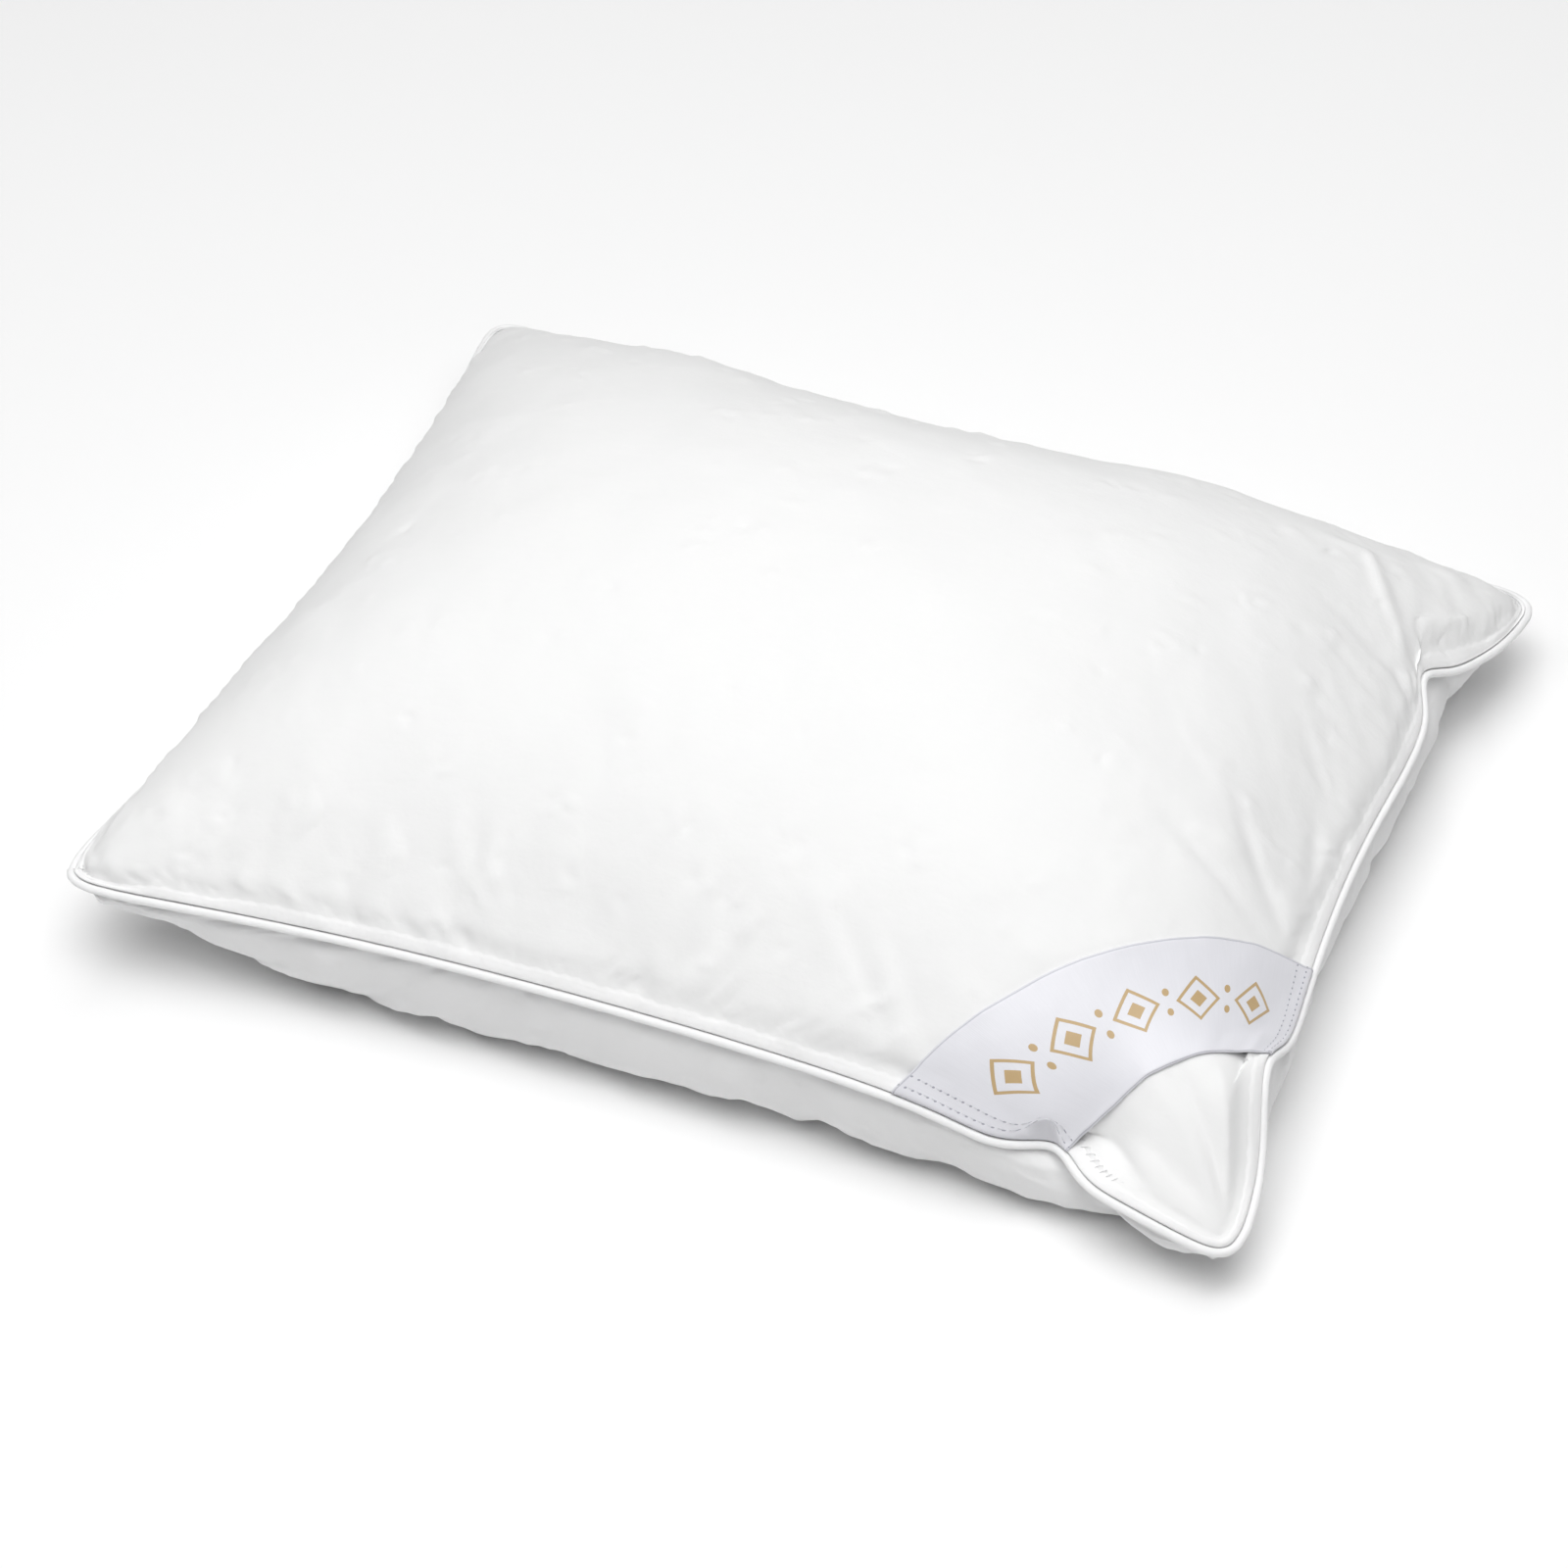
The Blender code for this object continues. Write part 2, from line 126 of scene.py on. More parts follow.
def smooth_step(t):
    t = np.clip(t, 0.0, 1.0)
    return t * t * (3.0 - 2.0 * t)


def gone_along(line):
    """How far each point of a line is from its start."""
    return np.concatenate([[0.0], np.cumsum(np.linalg.norm(np.diff(line, axis=0), axis=1))])


def bend(distance, reach, softness):
    """1 at a corner's tip, falling in a straight line to nothing at its reach, with a rounded start."""
    x = 1.0 - distance / reach
    return (x + np.sqrt(x * x + softness**2)) / (1.0 + math.sqrt(1.0 + softness**2))


def side_points(name, start, end, half_length, distance, turn, segments):
    """The seam along one side, as if it were the front one, then turned into place."""
    side = SIDES[name]
    even = np.linspace(-1.0, 1.0, segments + 1)
    place = 0.2 * even + 0.8 * np.sin(even * math.pi / 2.0)
    along = half_length * place
    inset = side["pull"] * (1.0 - place**2)
    height = np.full_like(along, side["height"])
    for corner, gone in ((start, half_length + along), (end, half_length - along)):
        tip = CORNERS[corner]
        height += (tip["height"] - side["height"]) * bend(gone, tip["reach"], tip["softness"])
    straight = half_length - CORNER_RADIUS
    angle = np.clip((np.abs(along) - straight) / CORNER_RADIUS, 0.0, 1.0) * math.pi / 4.0
    rounded = angle > 0.0
    curved = distance - CORNER_RADIUS + CORNER_RADIUS * np.cos(angle)
    across = np.where(rounded, curved, distance) - inset
    along = np.where(rounded, np.sign(along) * (straight + CORNER_RADIUS * np.sin(angle)), along)
    c, s = math.cos(turn), math.sin(turn)
    return np.stack([c * along + s * across, s * along - c * across, height], axis=1)


def cad_seam():
    """The seam's points as the CAD has them, anticlockwise from the front left tip."""
    quarter = math.pi / 2.0
    long, short = (HALF_LENGTH, HALF_WIDTH), (HALF_WIDTH, HALF_LENGTH)
    sides = [
        side_points("front", "front_left", "front_right", *long, 0.0, SEGMENTS_LONG),
        side_points("right", "front_right", "back_right", *short, quarter, SEGMENTS_SHORT),
        side_points("back", "back_right", "back_left", *long, 2 * quarter, SEGMENTS_LONG),
        side_points("left", "back_left", "front_left", *short, 3 * quarter, SEGMENTS_SHORT),
    ]
    for i in range(4):
        here, there = sides[i], sides[(i + 1) % 4]
        meeting = (here[-1] + there[0]) / 2.0
        ease_in = smooth_step((np.linspace(0.0, 1.0, len(here)) - 1.0 + CORNER_BLEND) / CORNER_BLEND)
        ease_out = smooth_step((np.linspace(1.0, 0.0, len(there)) - 1.0 + CORNER_BLEND) / CORNER_BLEND)
        here += (meeting - here[-1]) * ease_in[:, None]
        there += (meeting - there[0]) * ease_out[:, None]
    loop = np.concatenate([side[:-1] for side in sides])
    for _ in range(CORNER_SMOOTHING):
        loop = (np.roll(loop, 1, axis=0) + 2 * loop + np.roll(loop, -1, axis=0)) / 4.0
    middle = (loop.min(axis=0) + loop.max(axis=0)) / 2.0
    return loop - np.array([middle[0], middle[1], 0.0])


def closed_spline(loop, wanted):
    """A smooth closed curve through a loop, read at the distances that wanted makes of its knots'."""
    steps = np.linalg.norm(np.roll(loop, -1, axis=0) - loop, axis=1)
    knots = np.concatenate([[0.0], np.cumsum(steps)])
    count = len(loop)
    before = np.roll(steps, 1)
    slopes = (np.roll(loop, -1, axis=0) - loop) / steps[:, None]
    system = np.diag(2.0 * (before + steps))
    i = np.arange(count)
    system[i, (i - 1) % count] += before
    system[i, (i + 1) % count] += steps
    bends = np.linalg.solve(system, 6.0 * (slopes - np.roll(slopes, 1, axis=0)))
    wanted = np.mod(wanted(knots), knots[-1])
    k = np.clip(np.searchsorted(knots, wanted, side="right") - 1, 0, count - 1)
    n = (k + 1) % count
    h = steps[k][:, None]
    a = (knots[k + 1] - wanted)[:, None] / h
    b = 1.0 - a
    curved = ((a**3 - a) * bends[k] + (b**3 - b) * bends[n]) * h * h / 6.0
    return a * loop[k] + b * loop[n] + curved


class Seam:
    """The seam as one fine loop, with a frame at each point for the section through the layers."""

    def __init__(self, counts):
        first = np.cumsum([0, SEGMENTS_LONG, SEGMENTS_SHORT, SEGMENTS_LONG, SEGMENTS_SHORT])
        self.share = np.concatenate([np.arange(n) / n for n in counts])
        self.side = np.concatenate([np.full(n, k) for k, n in enumerate(counts)])

        def wanted(knots):
            low, high = knots[first[self.side]], knots[first[self.side + 1]]
            return low + (high - low) * self.share

        self.plain = closed_spline(cad_seam(), wanted)
        self.loop = self.plain
        self.frames()
        self.pinch = np.zeros_like(self.loop)
        for name, distance, spread, inwards, up in PINCHES:
            gone = self.distance(name)
            amount = np.exp(-(((gone - distance) / spread) ** 2) / 2.0)[:, None]
            self.pinch += amount * (-inwards * self.outward + [0.0, 0.0, up])

    def pinched(self, on):
        """The seam with its pinches, or without them."""
        self.loop = self.plain + self.pinch if on else self.plain
        self.frames()

    def distance(self, name):
        """How far each point is along the seam from this side's first corner."""
        gone = self.places()
        return gone - gone[np.flatnonzero(self.side == list(SIDES).index(name))[0]]

    def places(self):
        """How far each point is along the seam from its start."""
        return np.concatenate([[0.0], np.cumsum(self.steps())])[:-1]

    def steps(self):
        """The distance from each point to the next."""
        return np.linalg.norm(np.roll(self.loop, -1, axis=0) - self.loop, axis=1)

    def frames(self):
        """Each point's directions: along the seam, outwards, and inwards and square to the layers."""
        tangent = np.roll(self.loop, -1, axis=0) - np.roll(self.loop, 1, axis=0)
        tangent /= np.linalg.norm(tangent, axis=1)[:, None]
        outward = np.stack([tangent[:, 1], -tangent[:, 0], np.zeros(len(tangent))], axis=1)
        outward /= np.linalg.norm(outward, axis=1)[:, None]
        upward = np.cross(outward, tangent)
        near_corner = np.abs(2.0 * self.share - 1.0) ** 4
        rim_tilt = np.radians(TILTS)[self.side]
        tilt = (rim_tilt + (CORNER_TILT - rim_tilt) * near_corner)[:, None]
        self.tangent = tangent
        self.outward = outward
        self.inward = np.sin(tilt) * upward - np.cos(tilt) * outward
        self.square = np.cos(tilt) * upward + np.sin(tilt) * outward
        self.width = (1.0 - CORNER_TRIM * near_corner)[:, None]

    def ring(self, along, above):
        """The seam's loop moved to one place in the section."""
        reach = along * self.width if along > 0.0 else along
        return self.loop + reach * self.inward + above * self.square


def made_seam(times):
    seam = Seam(tuple(times * n for n in COUNTS))
    seam.pinched(True)
    return seam


SEAM = Seam(COUNTS)
SEAM_TWICE = made_seam(2)
SEAM_FINE = made_seam(TICKS)


# ---------------------------------------------------------------- a panel's mesh, flat and in place

def outline(offset):
    """The flat cut's outline this far inside its edge, at the seam's points."""
    a, b = CUT_HALF[0] - offset, CUT_HALF[1] - offset
    corners = np.array([(-a, -b), (a, -b), (a, b), (-a, b)])
    start, end = corners[SEAM.side], corners[(SEAM.side + 1) % 4]
    return start + (end - start) * SEAM.share[:, None]


def flat_panel():
    """Flat points and triangles of a panel: rows round the edge, then an even lattice of triangles."""
    rows = [outline(offset) for offset in BAND_OFFSETS]
    a, b = (half - RIM - 0.85 * LATTICE for half in CUT_HALF)
    lattice = []
    height = LATTICE * math.sqrt(3.0) / 2.0
    lines = int(2 * b / height)
    for j in range(lines + 1):
        y = -b + 2 * b * j / lines
        count = int(2 * a / LATTICE) - j % 2
        x = (np.arange(count + 1) - count / 2.0) * LATTICE
        x = x * (a / (int(2 * a / LATTICE) * LATTICE / 2.0))
        lattice += [(value, y) for value in x]
    count = len(rows[0])
    inner = [Vector(p) for p in rows[-1]] + [Vector(p) for p in lattice]
    rim = [(i, (i + 1) % count) for i in range(count)]
    points, _, triangles, *_ = delaunay_2d_cdt(inner, rim, [], 1, 1e-7)
    assert len(points) == len(inner)
    flat = np.concatenate([*rows, np.array(lattice)])
    base = (len(rows) - 1) * count
    faces = []
    for r in range(len(rows) - 1):
        for i in range(count):
            j = (i + 1) % count
            here, there = r * count, (r + 1) * count
            if (i + r) % 2:
                faces += [(here + i, here + j, there + j), (here + i, there + j, there + i)]
            else:
                faces += [(here + i, here + j, there + i), (here + j, there + j, there + i)]
    band = len(faces)
    faces += [tuple(base + k for k in t) for t in triangles]
    return flat, np.array(faces), band


def sides_of(loop):
    """The four sides of a loop, each from corner to corner."""
    ends = np.cumsum((0, *COUNTS))
    closed = np.concatenate([loop, loop[:1]])
    return [closed[ends[i]:ends[i + 1] + 1] for i in range(4)]


def read(line, share):
    """A polyline's points at these shares of its points."""
    at = np.linspace(0.0, 1.0, len(line))
    return np.stack([np.interp(share, at, line[:, k]) for k in range(3)], axis=1)


def share_across(points, facing, line, facing_line, axis):
    """How far points are from one end of a patch to the other, from 0 to 1."""
    middle = (points[:, axis] + facing[:, axis]) / 2.0
    low, high = (line[[0, -1], axis] + facing_line[[0, -1], axis]) / 2.0
    return ((middle - low) / (high - low))[:, None]


class Patch:
    """The smooth surface that spans a loop, with a rise or a drop towards the middle."""

    def __init__(self, loop, rise, power, plump=2.0, floor=None):
        front, right, back, left = sides_of(loop)
        self.front, self.right, self.back, self.left = front, right, back[::-1], left[::-1]
        self.rise, self.power, self.plump, self.floor = rise, power, plump, floor
        self.shares = np.linspace(0.0, 1.0, CURVE_POINTS)
        half = np.full(CURVE_POINTS, 0.5)
        sections = [self.at(self.shares, half, True), self.at(half, self.shares, True)]
        self.even = [gone / gone[-1] for gone in map(gone_along, sections)]

    def at(self, x, y, plain=False):
        """The surface's points at these shares of it, spaced evenly over it unless they are plain."""
        if not plain:
            x, y = (np.interp(t, even, self.shares) for t, even in zip((x, y), self.even))
        front, back = read(self.front, x), read(self.back, x)
        left, right = read(self.left, y), read(self.right, y)
        u = share_across(front, back, self.front, self.back, 0)
        v = share_across(left, right, self.left, self.right, 1)
        corners = ((1 - u) * (1 - v) * self.front[0] + u * (1 - v) * self.front[-1]
                   + (1 - u) * v * self.back[0] + u * v * self.back[-1])
        points = (1 - v) * front + v * back + (1 - u) * left + u * right - corners
        inside = 1.0 - np.abs(np.clip(2 * np.hstack([u, v]) - 1, -1.0, 1.0)) ** self.plump
        inside = inside[:, :1] * inside[:, 1:]
        points[:, 2] += self.rise * inside[:, 0] ** self.power
        if self.floor is not None:
            points[:, 2] = np.maximum(points[:, 2], self.floor)
        return points


FLAT, FACES, BAND_FACES = flat_panel()
RING = len(SEAM.loop)
ROWS = len(BAND_OFFSETS)


def shares_inside(offset):
    """Where the flat points lie across the cut inside this offset, from 0 to 1 each way."""
    a, b = CUT_HALF[0] - offset, CUT_HALF[1] - offset
    return (FLAT[:, 0] / a + 1.0) / 2.0, (FLAT[:, 1] / b + 1.0) / 2.0


def sides_inside():
    """For each side: how far inside it each flat point is, where along it from -1 to 1, and the way out."""
    (a, b), x, y = CUT_HALF, FLAT[:, 0], FLAT[:, 1]
    return (
        (y + b, x / a, (0.0, -1.0)), (a - x, y / b, (1.0, 0.0)),
        (b - y, -x / a, (0.0, 1.0)), (x + a, -y / b, (-1.0, 0.0)),
    )


def spread_pinches(points, reach):
    """The panel with the seam's pinches, which die away inwards over the cloth."""
    moved = points.copy()
    for (inside, along, _), line in zip(sides_inside(), sides_of(SEAM.pinch)):
        fade = np.exp(-((np.maximum(inside - RIM, 0.0) / reach) ** 1.5))[:, None]
        moved += fade * read(line, (along + 1.0) / 2.0)
    return moved


def bulged(points, amounts, depth):
    """The panel swollen outwards past its seam, most at one depth inside it and half-way along each side."""
    moved = points.copy()
    for amount, (inside, along, out) in zip(amounts, sides_inside()):
        swell = amount * inside / depth * np.exp(1.0 - inside / depth) * np.clip(1.0 - along**2, 0.0, 1.0)
        moved[:, :2] += swell[:, None] * out
    return moved


def corners_puffed(points):
    """The panel raised inside each corner, so that the corner's tip stands out from it like an ear."""
    moved = points.copy()
    a, b = CUT_HALF[0] - CORNER_PUFF_INSIDE, CUT_HALF[1] - CORNER_PUFF_INSIDE
    for puff, x, y in zip(CORNER_PUFF, (-a, a, a, -a), (-b, -b, b, b)):
        away = ((FLAT[:, 0] - x) ** 2 + (FLAT[:, 1] - y) ** 2) / (2.0 * CORNER_PUFF_SPREAD**2)
        moved[:, 2] += puff * np.exp(-away)
    return moved


def top_in_place():
    """The upper panel before the simulation: its band on the seam, and the crown inside."""
    points = np.zeros((len(FLAT), 3))
    for r, offset in enumerate(BAND_OFFSETS):
        along = FOLD_ALONG + (RIM - FOLD_ALONG) * offset / RIM
        points[r * RING:(r + 1) * RING] = SEAM.ring(along, SKIN_ABOVE)
    inner = slice(ROWS * RING, None)
    patch = Patch(points[(ROWS - 1) * RING:ROWS * RING], CROWN, CROWN_POWER, PLUMP)
    x, y = shares_inside(RIM)
    points[inner] = patch.at(x[inner], y[inner])
    points[inner] = corners_puffed(bulged(points, TOP_BULGE, TOP_BULGE_DEPTH))[inner]
    return spread_pinches(points, TOP_PINCH_REACH)


def bottom_in_place():
    """The lower panel before the simulation: the belly, flat where it lies on the floor."""
    ring = SEAM.ring(0.0002, BOTTOM_ALLOWANCE_ABOVE - FOLD_RADIUS)
    patch = Patch(ring, -BELLY, BELLY_POWER, floor=CLOTH / 2)
    x, y = shares_inside(0.0)
    points = patch.at(x, y)
    points[:RING] = ring
    points = bulged(points, BOTTOM_BULGE, BOTTOM_BULGE_DEPTH)
    points = spread_pinches(points, BOTTOM_PINCH_REACH)
    points[:, 2] = np.maximum(points[:, 2], CLOTH / 2)
    return points


# ---------------------------------------------------------------- cloth simulation

FRAMES = 20
CLOTH_SETTINGS = {
    "quality": 4,
    "mass": 0.008,
    "air_damping": 1.0,
    "bending_model": "ANGULAR",
    "tension_stiffness": 30.0,
    "compression_stiffness": 30.0,
    "shear_stiffness": 8.0,
    "bending_stiffness": 0.02,
    "tension_damping": 0.5,
    "compression_damping": 0.5,
    "shear_damping": 0.5,
    "bending_damping": 0.05,
    "vertex_group_mass": "pins",
    "pin_stiffness": 1.0,
    "use_pressure": True,
    "uniform_pressure_force": 600.0,
}
ROUGH_START = 0.0030  # unevenness that lets the slack cloth buckle
SOFT_PIN = 0.3  # how firmly the band's inner rows are held
FLOOR_PIN = 0.6  # and what lies on the floor
LOW_PASSES = 100  # averaging passes that leave only the broad shape
KEEP_BROAD = 0.25  # share of the simulation's broad change that is kept
FOLD_GAIN = 1.6  # how much its folds are deepened
LABEL_FREE = 0.08  # how free the cloth is to fold under the label band
LABEL_CALM = 0.115  # and how far from the corner it is that calm
SIDES_FREE = (1.0, 0.8, 0.45, 0.35)  # how free it is near each side: front, right, back, left
SIDES_CALM = 0.06


def simulate(points, rest, faces, pins):
    """Cloth cut to the rest shape and blown up from these points, and where its points come to rest."""
    scene = bpy.context.scene
    mesh = bpy.data.meshes.new("cloth_trial")
    mesh.from_pydata(points.tolist(), [], faces.tolist())
    trial = bpy.data.objects.new("cloth_trial", mesh)
    scene.collection.objects.link(trial)
    trial.shape_key_add(name="Basis")
    cut = trial.shape_key_add(name="Cut")
    cut.data.foreach_set("co", rest.astype(np.float32).ravel())
    cut.value = 0.0
    group = trial.vertex_groups.new(name="pins")
    for weight in np.unique(pins[pins > 0.0]):
        group.add(np.flatnonzero(pins == weight).tolist(), float(weight), "REPLACE")
    cloth = trial.modifiers.new("Cloth", "CLOTH")
    settings = cloth.settings
    for title, value in CLOTH_SETTINGS.items():
        setattr(settings, title, value)
    settings.effector_weights.gravity = 0.0
    settings.rest_shape_key = cut
    cloth.collision_settings.use_collision = False
    cloth.collision_settings.use_self_collision = False
    cloth.point_cache.frame_start = 1
    cloth.point_cache.frame_end = FRAMES
    for number in range(1, FRAMES + 1):
        scene.frame_set(number)
    shown = trial.evaluated_get(bpy.context.evaluated_depsgraph_get()).to_mesh()
    found = np.empty(len(points) * 3, np.float32)
    shown.vertices.foreach_get("co", found)
    bpy.data.objects.remove(trial, do_unlink=True)
    scene.frame_set(1)
    return found.reshape(-1, 3).astype(float)


def pairs_of(faces):
    """The two ends of each triangle's three edges."""
    return np.concatenate([faces[:, [0, 1]], faces[:, [1, 2]], faces[:, [2, 0]]])


def edges_of(faces):
    """Each edge of a triangle mesh once, as a pair of points."""
    return np.unique(np.sort(pairs_of(faces), axis=1), axis=0)


def averaged(values, edges, passes, held=None):
    """Values at points, averaged over their neighbours this many times."""
    ends = np.concatenate([edges[:, 0], edges[:, 1]])
    others = np.concatenate([edges[:, 1], edges[:, 0]])
    count = np.bincount(ends, minlength=len(values))
    values = values.copy()
    for _ in range(passes):
        for k in range(values.shape[1]):
            around = np.bincount(ends, values[others, k], minlength=len(values)) / np.maximum(count, 1)
            values[:, k] = around if held is None else np.where(held, values[:, k], around)
    return values


def cloud(x, y, seed):
    """Smooth uneven numbers between -1 and 1 over a plane, with bumps about 1 apart."""
    size = 64
    table = np.random.default_rng(seed).uniform(-1.0, 1.0, (size, size))
    i, j = np.floor(x).astype(int), np.floor(y).astype(int)
    fx, fy = smooth_step(x - i), smooth_step(y - j)
    i, j, right, above = i % size, j % size, (i + 1) % size, (j + 1) % size
    low = table[i, j] * (1 - fx) + table[right, j] * fx
    high = table[i, above] * (1 - fx) + table[right, above] * fx
    return low * (1 - fy) + high * fy


def calm_share():
    """How free each flat point is to fold, for the label band over it and for the seam near it."""
    x, y = FLAT[:, 0], FLAT[:, 1]
    from_corner = ((CUT_HALF[0] - x) + (CUT_HALF[1] + y)) / math.sqrt(2.0)
    label = LABEL_FREE + (1.0 - LABEL_FREE) * smooth_step((from_corner - LABEL_CALM) / 0.05)
    seam = np.ones(len(FLAT))
    for (inside, _, _), free in zip(sides_inside(), SIDES_FREE):
        near = np.exp(-((inside / SIDES_CALM) ** 2))
        seam = np.minimum(seam, 1.0 - (1.0 - free) * near)
        seam = np.minimum(seam, 0.3 + 0.7 * smooth_step((inside - 0.004) / 0.020))
    return label, seam


def unevenness(seam_creases, lumps, seed):
    """How far each flat point stands up: creases that run in from the seams, over the filling's lumps."""
    x, y = FLAT[:, 0], FLAT[:, 1]
    height = np.zeros(len(FLAT))
    for size, tall in lumps:
        height += tall * cloud(x / size + 7.3, y / size + 3.1, seed)
        seed += 1
    deep = np.minimum(CUT_HALF[0] - np.abs(x), CUT_HALF[1] - np.abs(y))
    height *= smooth_step(deep / 0.05)
    for creases, (inside, along, _), half in zip(seam_creases, sides_inside(), CUT_HALF * 2):
        tall, reach, pitch, slant = creases
        place = along * half + slant * inside
        ridged = 1.0 - 2.0 * np.abs(cloud(place / pitch, inside / 0.07, seed))
        coarse = cloud(place / (2.6 * pitch), inside / 0.09, seed + 1)
        gate = smooth_step(0.55 + 0.9 * cloud(place / 0.05, inside / 0.06, seed + 2))
        fade = smooth_step(inside / 0.014) * np.exp(-((inside / reach) ** 1.5))
        height += tall * fade * (gate * ridged + 0.8 * coarse)
        seed += 3
    return height


def lifted(points, height):
    """A panel's points moved along its normals."""
    a, b, c = (points[FACES[:, k]] for k in range(3))
    around = np.cross(b - a, c - a)
    normal = np.zeros_like(points)
    for k in range(3):
        normal[:, k] = sum(np.bincount(FACES[:, i], around[:, k], len(points)) for i in range(3))
    return points + height[:, None] * normal / np.linalg.norm(normal, axis=1)[:, None]


# Creases at the front, right, back and left seams: height, reach, distance apart, slant
TOP_CREASES = ((0.0010, 0.065, 0.014, 0.5), (0.0010, 0.080, 0.014, -0.9), (0.0003, 0.050, 0.016, 0.0),
               (0.0003, 0.050, 0.016, 0.2))
BOTTOM_CREASES = ((0.0014, 0.080, 0.016, 0.2),) * 4
# The filling's lumps: size and height
TOP_LUMPS = ((0.060, 0.0012), (0.026, 0.0005))
BOTTOM_LUMPS = ((0.050, 0.0016), (0.024, 0.0006))


def settled_panels():
    """Both panels after the simulation: its folds and puckers, on the CAD's broad shape."""
    top, bottom = blown_up(top_in_place(), bottom_in_place())
    top = lifted(top, unevenness(TOP_CREASES, TOP_LUMPS, 40) * calm_share()[0])
    bottom = lifted(bottom, -unevenness(BOTTOM_CREASES, BOTTOM_LUMPS, 60))
    bottom[:, 2] = np.maximum(bottom[:, 2], CLOTH / 2)
    return top, bottom


def blown_up(top, bottom):
    count = len(FLAT)
    rest = np.column_stack([FLAT, np.zeros(count)])
    start = np.concatenate([top, bottom])
    pins = np.zeros(2 * count)
    pins[RING:ROWS * RING] = SOFT_PIN
    pins[:RING] = 1.0
    pins[count + np.flatnonzero(bottom[:, 2] < 2 * CLOTH)] = FLOOR_PIN
    pins[count:count + RING] = 1.0
    faces = np.concatenate([FACES, FACES[:, ::-1] + count])
    rests = np.concatenate([rest * [*TOP_EASE, 1.0], rest * [*BOTTOM_EASE, 1.0]])
    rough = averaged(random.normal(0.0, ROUGH_START, start.shape), edges_of(faces), 2)
    rough = np.where(pins[:, None] < 1.0, rough, 0.0)
    moved = simulate(start + rough, rests, faces, pins) - start
    held = np.tile(np.arange(count) < RING, 2)
    broad = averaged(moved, edges_of(faces), LOW_PASSES, held)
    label, seam = calm_share()
    free = np.concatenate([label * seam, seam])[:, None]
    done = start + FOLD_GAIN * free * (moved - broad) + KEEP_BROAD * broad
    return done[:count], done[count:]


# ---------------------------------------------------------------- finer meshes

def subdivided(points, extra, faces):
    """One round of Loop's rule on a triangle mesh, whose edge stays put, with each edge's new point."""
    pairs = pairs_of(faces)
    opposite = np.concatenate([faces[:, 2], faces[:, 0], faces[:, 1]])
    edges, which = np.unique(np.sort(pairs, axis=1), axis=0, return_inverse=True)
    which = which.reshape(-1)
    uses = np.bincount(which)
    middle = (points[edges[:, 0]] + points[edges[:, 1]]) / 2.0
    across = np.stack([np.bincount(which, points[opposite, k]) for k in range(3)], axis=1)
    shared = (uses == 2)[:, None]
    fresh = np.where(shared, 0.75 * middle + 0.125 * across, middle)
    ends = np.concatenate([edges[:, 0], edges[:, 1]])
    others = np.concatenate([edges[:, 1], edges[:, 0]])
    count = np.bincount(ends, minlength=len(points))
    around = np.stack([np.bincount(ends, points[others, k], minlength=len(points)) for k in range(3)], axis=1)
    weight = (0.375 / np.maximum(count, 3))[:, None]
    kept = (1.0 - count[:, None] * weight) * points + weight * around
    on_edge = np.zeros(len(points), bool)
    on_edge[edges[uses == 1].ravel()] = True
    kept[on_edge] = points[on_edge]
    a, b, c = (len(points) + which[k * len(faces):(k + 1) * len(faces)] for k in range(3))
    x, y, z = faces.T
    quarters = [np.stack(t, axis=1) for t in ((x, a, c), (a, y, b), (c, b, z), (a, b, c))]
    middles = {tuple(pair): len(points) + k for k, pair in enumerate(edges.tolist())}
    extra = np.concatenate([extra, (extra[edges[:, 0]] + extra[edges[:, 1]]) / 2.0])
    return np.concatenate([kept, fresh]), extra, np.stack(quarters, axis=1).reshape(-1, 3), middles


def doubled(grid, axis, closed):
    """A grid with a point between each two along one axis, on a smooth curve through its neighbours."""
    grid = np.moveaxis(grid, axis, 0)
    if closed:
        before, after, last = np.roll(grid, 1, 0), np.roll(grid, -1, 0), np.roll(grid, -2, 0)
        between = (-before + 9 * grid + 9 * after - last) / 16.0
        out = np.stack([grid, between], axis=1).reshape(-1, *grid.shape[1:])
    else:
        padded = np.concatenate([2 * grid[:1] - grid[1:2], grid, 2 * grid[-1:] - grid[-2:-1]])
        between = (-padded[:-3] + 9 * padded[1:-2] + 9 * padded[2:-1] - padded[3:]) / 16.0
        out = np.empty((2 * len(grid) - 1, *grid.shape[1:]))
        out[::2], out[1::2] = grid, between
    return np.moveaxis(out, 0, axis)


def band_grid(middles):
    """The indices of the band's points in a panel that was subdivided once, row by row."""
    grid = np.zeros((2 * ROWS - 1, 2 * RING), int)
    for r in range(ROWS):
        for i in range(RING):
            j = (i + 1) % RING
            here = r * RING
            grid[2 * r, 2 * i] = here + i
            grid[2 * r, 2 * i + 1] = middles[tuple(sorted((here + i, here + j)))]
            if r + 1 < ROWS:
                there = here + RING
                slanted = (here + i, there + j) if (i + r) % 2 else (here + j, there + i)
                grid[2 * r + 1, 2 * i] = middles[here + i, there + i]
                grid[2 * r + 1, 2 * i + 1] = middles[tuple(sorted(slanted))]
    return grid


def ring_quads(rows, columns, flip=False, closed=False):
    """Quads between neighbouring closed rings of points."""
    here = np.arange(rows * columns).reshape(rows, columns)
    there = np.roll(here, -1, axis=0)
    corners = (here, there, np.roll(there, -1, axis=1), np.roll(here, -1, axis=1))
    faces = np.stack(corners if flip else (corners[0], *corners[:0:-1]), axis=2)
    return (faces if closed else faces[:-1]).reshape(-1, 4).tolist()


